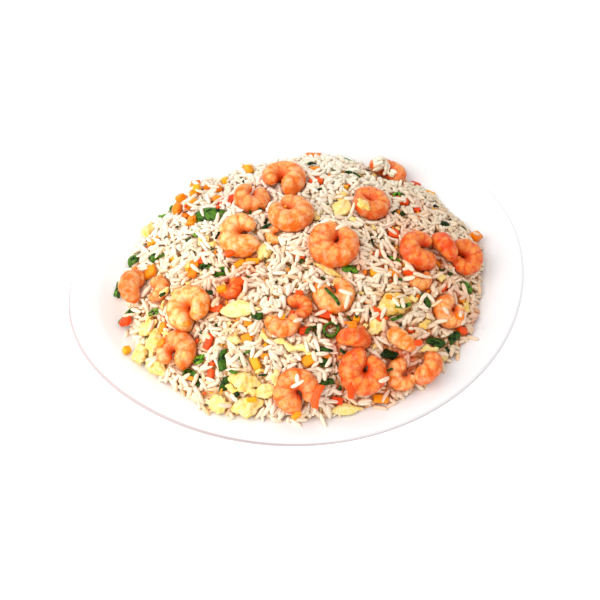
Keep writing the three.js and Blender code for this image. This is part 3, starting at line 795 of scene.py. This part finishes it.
def shrimp_skin(across, arc, seed):
    """A peeled, curled shrimp on its side: points, faces and the values that its looks read."""
    random = np.random.default_rng(seed)
    thick = SHRIMP_BODY * across
    u = np.linspace(0, 1, SHRIMP_RINGS)
    turn = math.radians(arc) * u
    out = columns(np.cos(turn), np.sin(turn), 0)
    radius = (across / 2 - thick) * (1 - SHRIMP_SPIRAL * u) * (1 + 0.02 * np.sin(7 * u + seed))
    centres = out * radius[:, None]
    centres[:, 2] = SHRIMP_CLIMB * across * u**2
    wide = np.tile([0, 0, math.copysign(1, arc)], (SHRIMP_RINGS, 1))

    t = ring_turns(SHRIMP_SIDES)
    dorsal = np.sin(t)  # from -1 inside the curl to 1 along the back
    segments = SHRIMP_SEGMENTS * abs(arc) / SEGMENTS_ARC
    phase = (u**0.92 * segments + 0.25 + random.uniform(-0.1, 0.1))[:, None]
    q = (phase - SEGMENT_SLANT * (1 - dorsal) / 2) % 1  # the way through a segment
    crease = bell(q / 0.15) + bell((1 - q) / 0.08)
    depth = CREASE_DEPTH * (1 + 0.5 * np.sin(9 * u + 2 * seed))[:, None]
    depth = depth * np.clip(0.8 * dorsal + 0.5, 0.05, 1)
    bulge = SEGMENT_BULGE * np.sin(np.pi * q) ** 0.7
    cut = np.interp(u, *VEIN_CUT)[:, None] * bell((t - math.pi / 2) / CUT_WIDTH)
    swell = 0.965 + 0.03 * q + bulge - depth * crease - CUT_DEPTH * cut
    half = thick * np.interp(u, *SHRIMP_TAPER)[:, None] * swell
    end_reach = SHRIMP_ENDS * thick
    points, faces = body(centres, wide, out, SHRIMP_FLATNESS * half, half, SHRIMP_SIDES, end_reach)
    lumps = SHRIMP_LUMPS * turbulence(points, SHRIMP_LUMP_SIZE, seed)
    points = points * (1 + lumps)[:, None]

    band = 0.9 * bell(q / 0.18) + 0.9 * bell((1 - q) / 0.14)
    band = band * np.clip(dorsal + 0.9, 0.3, 1) + 0.9 * np.clip((dorsal - 0.55) / 0.45, 0, 1)
    # Painted shade inside the curl, and a little in the creases.
    curl_shade = np.clip(np.clip((-dorsal - 0.2) / 0.6, 0, 1) + 0.1 * crease, 0, 1)
    values = {"band": band, "curl_shade": curl_shade, "back": np.broadcast_to(dorsal, q.shape)}
    return points, faces, {name: along_body(value) for name, value in values.items()}


# How readily a grain stays on a shrimp, for those that lie partly under the rice.
SHRIMP_SPILL = {17: 0.004, 24: 0.012, 25: 0.02, 27: 0.015}
# Where some rice lies over a bare one: x, y, reach and spill.
SPILL_SPOTS = [(22, 9, 8, 0.25), (3, -31, 6.5, 0.15), (-27, -87, 6, 0.04), (-89, -40, 6, 0.03)]
CROWDED, CROWDED_SPILL, CROWDED_BACK = 7, 3, 0.35  # rice covers all but this one's back


def shrimp_pieces():
    for number, (x, y, across, head, arc, lift, lean, tint) in enumerate(SHRIMPS, 1):
        node = f"shrimp_{number:02d}"
        points, faces, values = shrimp_skin(across, arc, number)
        back = values.pop("back")
        spill = SHRIMP_SPILL.get(number, 0)
        if number == CROWDED:
            spill = np.where(back > CROWDED_BACK, 0, CROWDED_SPILL)
        matrix = seat(x, y, head, lean, lift + SHRIMP_LIFT * across)
        batch = Batch()
        batch.lay(points, faces, matrix, spill, node, tint=tint, **values)
        batch.piece(f"cooked_{node}", SHRIMP, "shrimp", node)
    for x, y, reach, spill in SPILL_SPOTS:
        spill_map[np.hypot(GRID_X - x, GRID_Y - y) < reach] = spill


# ---- Egg ----

EGG_TIPS = 0.14  # reach of the rounded ends, as a share of the width
EGG_SPILL = 0.003
# How strong the yolk's colour is in some pieces.
EGG_TINT = {1: 0.0, 2: 0.1, 3: 0.6, 4: 0.5, 5: 0.6, 6: 0.5, 8: 0.2, 14: 0.2, 15: 0.9}


def egg_skin(length, width, form, seed):
    """Egg that set in soft folds: a lump with knobs, a folded leaf, or a crumbly strip."""
    random = np.random.default_rng(seed)
    steps, sides = (60, 12) if form == "strip" else (26, 26)
    u = np.linspace(0, 1, steps)
    t = ring_turns(sides)
    belly = np.sin(np.pi * (0.1 + 0.8 * u))
    swell = np.ones((steps, sides))
    if form == "curd":
        a, b, sway, knob, rise = width / 2 * belly, width * 0.32 * belly, 0.6, 3.6, 1.5
    elif form == "flap":
        a, b, sway, knob, rise = width / 2 * belly**1.6, width * 0.22 * belly, 0.3, 3.2, 0.5
        swell += 0.10 * np.sin(5 * t + 3 * u[:, None]) - 0.3 * bell((t - 1.9) / 0.25)
    else:
        crumbs = turbulence(columns(u * length, 0, 0), 2.2, seed)
        a, b, sway, knob, rise = width / 2 * (0.9 + 0.5 * crumbs), 0.9 + 0 * u, 1.3, 1.6, 0.5
    wave = sway * np.sin(u * steps * 0.3 + random.uniform(0, 6))
    centres = columns((u - 0.5) * (length - EGG_TIPS * width), wave, 0)
    wide = np.tile([0.0, 1, 0], (steps, 1))
    high = np.tile([0.0, 0, 1], (steps, 1))
    points, faces = body(
        centres, wide, high, a[:, None] * swell, b[:, None] * swell, sides, EGG_TIPS * width
    )
    outward = points - points * [0.8, 0, 0]
    outward /= np.maximum(np.linalg.norm(outward, axis=1, keepdims=True), 0.5)
    knobs = 1 - 2.2 * np.abs(turbulence(points, knob, seed + 40, 1))
    fine = turbulence(points, 1.3, seed + 80, 1)
    rise *= min(1, width / 9)
    return points + outward * (rise * (knobs - 0.45) + 0.3 * fine)[:, None], faces


def egg_pieces():
    for number, (x, y, length, width, turn, form) in enumerate(EGGS, 1):
        node = f"egg_{number:02d}"
        points, faces = egg_skin(length, width, form, number)
        matrix = seat(x, y, turn, 0, 1.2 if form == "strip" else 0.8)
        tint = EGG_TINT.get(number, 0.45 + 0.3 * math.sin(number * 2.3))
        batch = Batch()
        batch.lay(points, faces, matrix, EGG_SPILL, node, tint=tint)
        batch.piece(f"set_{node}", EGG, "egg", node)


# ---- Scallion ----

BLADE_SLANT = 0.45  # how far a cut runs askew, for each millimetre across
BLADE_ARCH = 0.16  # rise of the middle over the edges, as a share of the width
STALK_WALL = 0.75
SCALLION_SPILL = 0.008


def blade_skin(length, width, seed, thick=0.9):
    """A piece of leaf, arched along and across, with a slight twist and cut ends."""
    steps, sides = 14, 16
    u = np.linspace(0, 1, steps)
    bend = 0.6 * np.sin(4 * u + seed)
    centres = columns((u - 0.5) * length, bend, 0.09 * length * np.sin(np.pi * u))
    twist = 0.35 * np.sin(2.2 * u + seed)
    wide = columns(0, np.cos(twist), np.sin(twist))
    high = columns(0, -np.sin(twist), np.cos(twist))
    a = width / 2 * (0.85 + 0.15 * np.sin(np.pi * u))[:, None]
    points, faces = body(centres, wide, high, a, thick / 2 + 0 * a, sides, 0.35)
    round_body = np.tile(np.cos(ring_turns(sides)), steps + 2 * len(DOME_BOWS))
    across = np.append(round_body, [0, 0])
    points[:, 2] += BLADE_ARCH * width * (1 - across**2)
    points[:, 0] += BLADE_SLANT * math.sin(7 * seed) * points[:, 1]
    points[:, 2] += 0.25 * turbulence(points, 3.0, seed)
    return points, faces, across


def squarish(x):
    return np.sign(x) * np.abs(x) ** 0.6


def ring_skin(length, width, seed):
    """A slice of hollow stalk with its hole upright."""
    turns, sides = 28, 10
    turn = TAU * np.arange(turns)[:, None] / turns
    t = ring_turns(sides)
    radius = (width / 2 - STALK_WALL) * (1 + 0.06 * np.sin(2 * turn + seed))
    r = radius + STALK_WALL * squarish(np.cos(t))
    points = columns(r * np.cos(turn), r * np.sin(turn), length / 2 * squarish(np.sin(t)))
    i, j = np.meshgrid(np.arange(turns), np.arange(sides), indexing="ij")
    ahead, after = (i + 1) % turns, (j + 1) % sides
    quads = columns(i * sides + j, ahead * sides + j, ahead * sides + after, i * sides + after)
    return points.reshape(-1, 3), [quads.reshape(-1, 4)], np.tile(np.cos(t), turns)


def scallion_pieces():
    for number, (x, y, length, width, turn, form, shade) in enumerate(SCALLIONS, 1):
        node = f"scallion_{number:02d}"
        made = ring_skin if form == "ring" else blade_skin
        points, faces, across = made(length, width, number)
        matrix = seat(x, y, turn, 0, 0.15 * width if form == "ring" else 0.6)
        batch = Batch()
        batch.lay(points, faces, matrix, SCALLION_SPILL, node, across=across, shade=shade)
        batch.piece(f"cut_{node}", SCALLION, "scallion", node)


# ---- Small bits ----

DIE_SQUARENESS = 9
THICKEST_DIE = 3.6
# Beyond these, at the right and at the back on the left, dice lie on the rice as whole cubes.
FREE_DICE_X, FREE_DICE_Y = 115, 60
DIE_SPILL, BIT_SPILL, CRUMB_SPILL = 0.03, 0.02, 0.015


def die_skin(size, seed):
    """A hand-cut die: a box with soft corners, a little skewed."""
    random = np.random.default_rng(seed)
    rings, sides = (13, 20) if max(size) > 3.5 else (7, 12)
    tilt = np.linspace(-math.pi / 2, math.pi / 2, rings + 2)[1:-1, None]
    t = ring_turns(sides)
    ball = columns(np.cos(tilt) * np.cos(t), np.cos(tilt) * np.sin(t), np.sin(tilt))
    points, faces = skin(ball, (0, 0, -1), (0, 0, 1))
    spread = (np.abs(points) ** DIE_SQUARENESS).sum(1) ** (1 / DIE_SQUARENESS)
    points = points / spread[:, None] * np.array(size) / 2
    skew = random.uniform(-0.14, 0.14, 3)
    points[:, 0] += skew[0] * points[:, 1] + skew[1] * points[:, 2]
    points[:, 1] += skew[2] * points[:, 2]
    points *= (1 + 0.05 * turbulence(points, 2.5, seed))[:, None]
    return points, faces


def on_top(x, y, turn, lean, lift, reach):
    """Where a small bit lies: on the mound, or on the topping that is there."""
    matrix = seat(x, y, turn, lean, 0)
    around = np.array([(0, 0), (1, 0), (-1, 0), (0, 1), (0, -1)]) * reach
    base = max(float(resting_height(x + dx, y + dy)) for dx, dy in around)
    matrix[:3, 3] = (x, y, base + lift)
    return matrix


def strewn(count, seed, sizes):
    """More small bits, at random places between the toppings: x, y, length, width and turn."""
    random = np.random.default_rng(seed)
    rows = []
    while len(rows) < count:
        x, y = random.uniform(-0.5, 0.5, 2) * [HEAP_LENGTH, HEAP_WIDTH]
        if heap_share(x, y) < BED_REACH and high_map[cells(x, y)] == -np.inf:
            length, slenderness = random.uniform(*sizes), random.uniform(0.3, 0.85)
            rows.append((x, y, length, length * slenderness, random.uniform(0, 180)))
    return rows


def dice_piece(name, layout, look, slot, seed):
    random = np.random.default_rng(seed)
    batch = Batch()
    for number, (x, y, length, width, turn) in enumerate(layout):
        flatness = random.uniform(0.6, 0.95)
        free = length > 4 and (x > FREE_DICE_X or (x < 0 and y > FREE_DICE_Y))
        deep = width if free else min(width * flatness, THICKEST_DIE)
        points, faces = die_skin((length, width, deep), seed * 100 + number)
        slender = max(0.0, length / width - 1.8)
        points[:, 1] += random.choice([-1, 1]) * 0.02 * slender * points[:, 0] ** 2
        lean = random.uniform(-22, 22)
        lift = deep * (0.6 if free else 0.1)
        matrix = on_top(x, y, turn + random.uniform(-15, 15), lean, lift, 0.2 * width)
        batch.lay(points, faces, matrix, DIE_SPILL, tint=random.uniform(0, 1))
    batch.piece(name, look, slot)


def corn_bit_piece():
    x, y, length, width, turn = CORN_BIT
    points, faces = die_skin((length, width, width), 77)
    batch = Batch()
    batch.lay(points, faces, seat(x, y, turn, 0, 2.6, platter_top, 2), 0, "corn_bit", tint=0.5)
    batch.piece("corn_bit_cut", YELLOW, "corn", "corn_bit")


def small_scallion_piece():
    random = np.random.default_rng(21)
    batch = Batch()
    layout = SMALL_SCALLIONS + [row + (0.1,) for row in strewn(80, 5, (1.4, 4.2))]
    for number, (x, y, length, width, turn, shade) in enumerate(layout):
        points, faces, across = blade_skin(length, width, number + 50, 0.7)
        matrix = on_top(x, y, turn, random.uniform(-30, 30), 0.9, 0.25 * width)
        batch.lay(points, faces, matrix, BIT_SPILL, across=across, shade=shade)
    batch.piece("scallion_bits", SCALLION, "scallion")


def small_egg_piece():
    random = np.random.default_rng(22)
    batch = Batch()
    for number, (x, y, length, width, turn) in enumerate(SMALL_EGGS + strewn(30, 6, (2, 4.5))):
        points, faces = egg_skin(length, width, "curd", number + 200)
        matrix = on_top(x, y, turn, random.uniform(-15, 15), 0.2 * width, 0.2 * width)
        batch.lay(points, faces, matrix, CRUMB_SPILL, tint=random.uniform(0.1, 0.8))
    batch.piece("egg_crumbs", EGG, "egg")


# ---- Rice ----

OIL_AND_SHADE_DEPTH = 2.6  # under the mound's height where rice takes on the oil's colour and painted shade in full
GAP_OIL_AND_SHADE_SHARES = [(-110, 60), (0.5, 0.9)]  # x, and how much oil colour and painted shade there is between the grains, less on the left towards the key light
BACK_OIL_AND_SHADE_SHARES = [(-10, 60), (1.0, 0.2)]  # y, and how much of all that there is
SURFACE_OIL_SHARES = [(-80, -20, 30, 100), (0.34, 0.24, 0.28, 0.32)]  # x, and oil on the grains
RIGHT_SHADE_SHARES = [(10, 110), (0.0, 0.5)]  # x, and how much painted shade dulls the rice towards the right, away from the key light
STAINED_SHARE, STAIN = 0.14, 0.35
# Painted shade on each grain's underside, in the oil's colour.
UNDERSIDE_SHADE = 0.3

# Where the rice is stained red-orange round the shrimps, partly as painted shade between them: x,
# y, reach and share.
SAUCE_SPOTS = [
    (-48, -12, 13, 0.9), (-58, -24, 9, 0.7), (-37, -4, 10, 0.7), (1, -67, 9, 0.7),
    (40, -82, 10, 0.9), (0, -50, 8, 0.9), (60, -74, 8, 0.6), (87, -47, 11, 0.6),
    (14, -61, 8, 0.8), (54, -20, 8, 0.5), (-17, -54, 6, 0.5), (80, -22, 9, 0.6),
    (-45, 57, 8, 0.6), (-16, 62, 8, 0.6), (2, -94, 7, 0.5), (-36, 6, 6, 0.7),
    (-48, -32, 7, 0.4), (56, 20, 7, 0.5), (27, -20, 8, 0.6), (-98, -4, 7, 0.4),
    (70, 5, 10, 0.5), (100, -60, 10, 0.6), (24, -100, 10, 0.5), (-86, -30, 7, 0.5),
    (-70, 66, 8, 0.4), (-40, 78, 8, 0.4), (90, 30, 9, 0.4), (30, -66, 8, 0.6),
]


def sauce_at(points):
    """How much the rice at the points is stained, partly as painted shade, from 0 to 1."""
    total = np.zeros(len(points))
    for x, y, reach, share in SAUCE_SPOTS:
        away = np.hypot(points[:, 0] - x, points[:, 1] - y)
        total = np.maximum(total, share * bell(away / reach))
    return total


CORE_RINGS, CORE_SIDES = 84, 180
CORE_REACH = 0.965  # as a share of the mound's
CORE_SEAT = 0.15  # its gap over the platter
CORE_RELIEF, CORE_RELIEF_SIZE = 0.9, 3.4


def core_piece():
    """The bed that the grains lie on, with relief of their size."""
    turn = np.arange(CORE_SIDES) * TAU / CORE_SIDES
    reach = CORE_REACH * np.interp((turn + math.pi) % TAU - math.pi, REACH_TURNS, REACHES)
    shares = np.linspace(1, 1 / CORE_RINGS, CORE_RINGS)[:, None]
    x, y = shares * reach * np.cos(turn), shares * reach * np.sin(turn)
    floor = platter_top(x, y) + CORE_SEAT
    top = np.maximum(heap_top(x, y) - GRAIN_DEPTH, floor + 0.3)
    top_points = columns(x, y, top)
    relief = turbulence(top_points.reshape(-1, 3), CORE_RELIEF_SIZE, 5).reshape(x.shape)
    top_points[..., 2] = np.maximum(top + CORE_RELIEF * relief, floor + 0.2)
    below = columns(x, y, floor)[::6][::-1]
    middle = float(heap_top(0.0, 0.0)) - GRAIN_DEPTH
    loops = np.concatenate([below, top_points])
    points, faces = skin(loops, (0, 0, WELL_HEIGHT + CORE_SEAT), (0, 0, middle))
    batch = Batch()
    # Patchy tone, with painted shade towards the right.
    patchy = 0.4 + 0.5 * turbulence(points, 5.0, 9) + np.interp(points[:, 0], *RIGHT_SHADE_SHARES)
    sunk = 0.6 * np.interp(points[:, 1], *BACK_OIL_AND_SHADE_SHARES)
    batch.add(points, faces, tint=np.clip(patchy, 0, 1), sunk=sunk, sauce=sauce_at(points))
    batch.piece("rice_core", RICE_BED, "rice", "rice_heap")


# Length with its spread, half width, half thickness and bend of each kind of grain, and the share
# of all grains that are of that kind.
GRAIN_KINDS = {
    "rice_whole": ((8.8, 0.8), 1.47, 1.13, 0.010, 0.30),
    "rice_curved": ((8.6, 0.8), 1.39, 1.10, 0.030, 0.30),
    "rice_plump": ((7.6, 0.7), 1.66, 1.25, 0.012, 0.26),
    "rice_broken": ((5.2, 0.8), 1.47, 1.14, 0.006, 0.14),
}
GRAIN_TRIALS = 110000
SCATTER_REACH = 0.53  # as a share of the mound's length and width
GRAIN_REACH = 0.985  # as a share of the mound's
STRAY_SHARE, STRAY_REACH = 0.015, 1.03  # some grains lie further out
STRAY_LIFT, STEEPEST_STRAY = 1.6, 0.5  # and some on toppings, if not too high and not too steep
SEATING = 0.15  # height of a grain's middle over what it rests on, as a share of half its height
CONTACT = -2  # of the places along a grain in order of height, the one that it rests on
STANDING_SHARE, STANDING_SWING, STEEPEST, STANDING_SINK = 0.10, 0.55, 1.2, 1.2
ROOM = 0.7  # that a grain takes over and under its middle, as a share of half its height
SLACK_FROM, SLACK_RANGE, SLACK_POWER = -0.9, 2.3, 1.6  # over the mound, for the highest grains
SPILL_LEFT = 0.3  # how readily the next grain lies where one has come to lie on a topping
CROWD_REACH, CROWD_RISE = 4.5, 1.6  # grains lie higher where they are near a topping
CURL_SHARE, CURL_RISE = 0.36, -1.2  # but lower inside a shrimp's curl
LAY_SIZE, LAY_SWING, LAY_SPREAD = 15.0, 5.0, 0.6  # neighbours lie along a like heading
HIGHEST_GRAIN = 63.8  # over the table
SLOPES = np.linspace(-1.0, 1.0, 21)
ALONG = np.linspace(-0.94, 0.94, 9)
ALONG_FILL = np.linspace(-0.92, 0.92, 14)
ACROSS_FILL = np.linspace(-0.85, 0.85, 5)


def roundness(t):
    """A grain's half thickness at a place along it, from -1 to 1, as a share of the largest."""
    return np.sqrt(np.maximum(0, 1 - np.abs(t) ** 3.0))


def settle(support, x, y, cos, sin, length, wide, thick, slope=None):
    """The slope at which a grain's middle lies lowest, and the height of its middle."""
    s = ALONG * length / 2
    sideways = np.array([-0.6, 0, 0.6])[:, None] * wide * roundness(ALONG)
    here = cells(x + s * cos - sideways * sin, y + s * sin + sideways * cos)
    need = support[here].mean(0) + SEATING * thick * roundness(ALONG)
    slopes = SLOPES if slope is None else np.array([slope])
    heights = np.sort(need - slopes[:, None] * s)[:, CONTACT]
    best = heights.argmin()
    return slopes[best], heights[best], here, s


def scatter_grains():
    """Lets grains fall one by one on the core, round the toppings, up to the mound's height."""
    random = np.random.default_rng(3)
    names = list(GRAIN_KINDS)
    kept = {name: [] for name in names}
    kinds = random.choice(len(names), GRAIN_TRIALS, p=[GRAIN_KINDS[name][4] for name in names])
    places = random.uniform(-1, 1, (GRAIN_TRIALS, 2))
    places *= [HEAP_LENGTH * SCATTER_REACH, HEAP_WIDTH * SCATTER_REACH]
    headings = LAY_SWING * turbulence(columns(*places.T, 0.0), LAY_SIZE, 70)
    headings += random.normal(0, LAY_SPREAD, GRAIN_TRIALS)
    draws = random.uniform(0, 1, (GRAIN_TRIALS, 5))
    normals = random.normal(0, 1, (GRAIN_TRIALS, 2))
    ground, on_topping = core_map.copy(), high_map.copy()
    crowd_map = np.where(near_toppings(CROWD_REACH), CROWD_RISE, 0)
    for x, y, across, *_ in SHRIMPS:
        crowd_map[np.hypot(GRID_X - x, GRID_Y - y) < CURL_SHARE * across] = CURL_RISE
    for k in range(GRAIN_TRIALS):
        x, y = places[k]
        centre = cells(x, y)
        if share_map[centre] > (STRAY_REACH if draws[k, 0] < STRAY_SHARE else GRAIN_REACH):
            continue
        (length, spread), wide, thick, _, _ = GRAIN_KINDS[names[kinds[k]]]
        length += spread * np.clip(normals[k, 0], -2, 2)
        cos, sin = math.cos(headings[k]), math.sin(headings[k])
        shape = (x, y, cos, sin, length, wide, thick)
        slope, height, here, s = settle(ground, *shape)
        if draws[k, 1] < STANDING_SHARE:
            slope = float(np.clip(slope + STANDING_SWING * normals[k, 1], -STEEPEST, STEEPEST))
            height = settle(ground, *shape, slope)[1] - STANDING_SINK
        middle, room = height + slope * s, ROOM * thick
        crossing = (low_map[here] < middle + room) & (high_map[here] > middle - room)
        support = ground
        if crossing.any():
            if draws[k, 2] > spill_map[here][crossing].min():
                continue
            support = on_topping
            slope, height, here, s = settle(np.maximum(ground, on_topping), *shape)
            highest = high_map[here].max() + STRAY_LIFT * thick
            if height > highest or abs(slope) > STEEPEST_STRAY:
                continue
            spill_map[here] *= SPILL_LEFT
        else:
            slack = SLACK_FROM + SLACK_RANGE * draws[k, 3] ** SLACK_POWER + crowd_map[centre]
            if height > heap_map[centre] + slack:
                continue
        if height + abs(slope) * length / 2 + wide > HIGHEST_GRAIN:
            continue
        a, b = ALONG_FILL[:, None] * length / 2, ACROSS_FILL * wide
        fill = cells(x + a * cos - b * sin, y + a * sin + b * cos)
        top = height + slope * a + thick * roundness(ALONG_FILL)[:, None] * roundness(ACROSS_FILL)
        support[fill] = np.maximum(support[fill], top)
        grain = (x, y, height, headings[k], slope, length, draws[k, 4])
        kept[names[kinds[k]]].append(grain)
    return kept


GRAIN_SIDES = 6
GRAIN_RINGS = np.array([-0.95, -0.74, -0.28, 0.28, 0.74, 0.95])


def grain_piece(name, grains, seed):
    """All grains of one kind as one mesh."""
    _, wide, thick, bend, _ = GRAIN_KINDS[name]
    x, y, z, heading, slope, length, draw = np.array(grains).T
    random = np.random.default_rng(seed)
    count = len(x)
    axis = columns(np.cos(heading), np.sin(heading), slope)
    axis /= np.linalg.norm(axis, axis=1, keepdims=True)
    level = columns(-np.sin(heading), np.cos(heading), 0)
    upward = np.cross(axis, level)
    roll = random.normal(0, 0.5, count)[:, None]
    side = level * np.cos(roll) + upward * np.sin(roll)
    up = upward * np.cos(roll) - level * np.sin(roll)

    t = ring_turns(GRAIN_SIDES)
    ring_round = roundness(GRAIN_RINGS)[:, None]
    fat = random.uniform(0.9, 1.1, count)[:, None, None]
    lopsided = 1 + random.uniform(-0.18, 0.18, count)[:, None, None] * GRAIN_RINGS[:, None]
    curve = bend * random.uniform(0.4, 1.3, count) * random.choice([-1, 1], count)
    along = np.concatenate([GRAIN_RINGS, [-1, 1]]) * length[:, None] / 2
    bow = curve[:, None] * (along**2 - (length[:, None] / 4) ** 2)
    spine = columns(x, y, z)[:, None] + along[..., None] * axis[:, None]
    spine = spine + bow[..., None] * side[:, None]
    rings = spine[:, :-2, None] + (
        (wide * fat * lopsided * ring_round * np.cos(t))[..., None] * side[:, None, None]
        + (thick * fat * ring_round * np.sin(t))[..., None] * up[:, None, None]
    )
    per_grain = GRAIN_SIDES * len(GRAIN_RINGS) + 2
    points = np.concatenate([rings.reshape(count, -1, 3), spine[:, -2:]], 1).reshape(-1, 3)
    _, faces = skin(np.zeros((len(GRAIN_RINGS), GRAIN_SIDES, 3)), (0, 0, 0), (0, 0, 0))
    starts = np.arange(count)[:, None, None] * per_grain
    all_faces = [(part + starts).reshape(-1, part.shape[1]) for part in faces]

    rise = np.concatenate([np.repeat(along[:, :-2], GRAIN_SIDES, 1), along[:, -2:]], 1)
    middle = np.repeat(z, per_grain) + (rise * axis[:, 2:]).ravel()
    under = (middle - points[:, 2]) / thick
    below = heap_map[cells(points[:, 0], points[:, 1])] - points[:, 2]
    stained = np.where(random.uniform(0, 1, count) < STAINED_SHARE, STAIN, 0.0)
    # The oil's colour and painted shade: stronger the deeper a point lies, and on each grain's
    # underside.
    sunk = np.interp(points[:, 0], *GAP_OIL_AND_SHADE_SHARES) * np.clip((below + 0.7) / OIL_AND_SHADE_DEPTH, 0, 1)
    sunk += np.repeat(stained, per_grain)
    sunk += UNDERSIDE_SHADE * np.clip(under + 0.15, 0, 1)
    sunk += np.interp(points[:, 0], *SURFACE_OIL_SHARES)
    sunk = np.clip(sunk * np.interp(points[:, 1], *BACK_OIL_AND_SHADE_SHARES), 0, 1)
    # Painted shade: the stain is weaker on top and full deeper down.
    sauce = sauce_at(points) * np.clip((below + 1.6) / OIL_AND_SHADE_DEPTH, 0.4, 1)
    # Tone differs at random from grain to grain, with painted shade towards the right.
    tint = np.repeat(0.6 * draw**1.5 + np.interp(x, *RIGHT_SHADE_SHARES), per_grain)
    batch = Batch()
    batch.add(points, all_faces, tint=tint, sunk=sunk, sauce=sauce)
    batch.piece(name, RICE, "rice")


# ---- Making it all ----

platter_piece()
core_piece()
shrimp_pieces()
egg_pieces()
scallion_pieces()
corn_bit_piece()
small_egg_piece()
dice_piece("carrot_dice", CARROTS + strewn(80, 1, (1.4, 3.6)), CARROT, "rice", 31)
dice_piece("red_carrot_dice", RED_CARROTS + strewn(60, 2, (1.4, 3.4)), RED_CARROT, "rice", 32)
dice_piece("corn_dice", CORN + strewn(40, 3, (1.4, 3.2)), YELLOW, "corn", 33)
small_scallion_piece()
for number, (name, grains) in enumerate(scatter_grains().items()):
    grain_piece(name, grains, 60 + number)

# ---- Floor, light and camera ----

FLOOR_HALF = 4.0
KEY_PLACE, KEY_AIM = Vector((-0.49, -0.06, 0.45)), Vector((0, 0, 0.03))
KEY_SIZE, KEY_POWER, KEY_COLOUR = 0.8, 5.0, (1, 0.98, 0.94)
SKY_COLOUR, SKY_STRENGTH = (0.99, 1, 1.01, 1), 0.84
CAMERA_AIM = Vector((-0.002962, -0.003757, 0.0))
CAMERA_DISTANCE = 0.520
CAMERA_TURN, CAMERA_HEIGHT = math.radians(-14.2), math.radians(57)
CAMERA_LENS, SENSOR = 45.9, 36.0


def floor_piece():
    mesh = bpy.data.meshes.new("studio_floor")
    half = FLOOR_HALF
    corners = [(-half, -half, 0), (half, -half, 0), (half, half, 0), (-half, half, 0)]
    mesh.from_pydata(corners, [], [(0, 1, 2, 3)])
    mesh.materials.append(table_look())
    made = linked("studio_floor", mesh)


def aim(made, place, way):
    """Puts a light or camera at a place, facing the way."""
    made.location = place
    made.rotation_euler = way.to_track_quat("-Z", "Y").to_euler()


def lights():
    key = bpy.data.lights.new("key", "AREA")
    key.size, key.energy, key.color = KEY_SIZE, KEY_POWER, KEY_COLOUR
    aim(linked("key", key), KEY_PLACE, KEY_AIM - KEY_PLACE)
    world = bpy.data.worlds.new("studio")
    world.use_nodes = True
    sky = world.node_tree.nodes["Background"]
    sky.inputs["Color"].default_value = SKY_COLOUR
    sky.inputs["Strength"].default_value = SKY_STRENGTH
    bpy.context.scene.world = world
    bpy.context.scene.view_settings.view_transform = "Standard"


def camera():
    data = bpy.data.cameras.new("camera")
    data.lens = CAMERA_LENS
    data.sensor_width = SENSOR
    data.clip_start = 0.01
    flat = math.cos(CAMERA_HEIGHT)
    away = Vector(
        (math.sin(CAMERA_TURN) * flat, -math.cos(CAMERA_TURN) * flat, math.sin(CAMERA_HEIGHT))
    )
    made = linked("camera", data)
    aim(made, CAMERA_AIM + away * CAMERA_DISTANCE, -away)
    bpy.context.scene.camera = made


floor_piece()
lights()
camera()
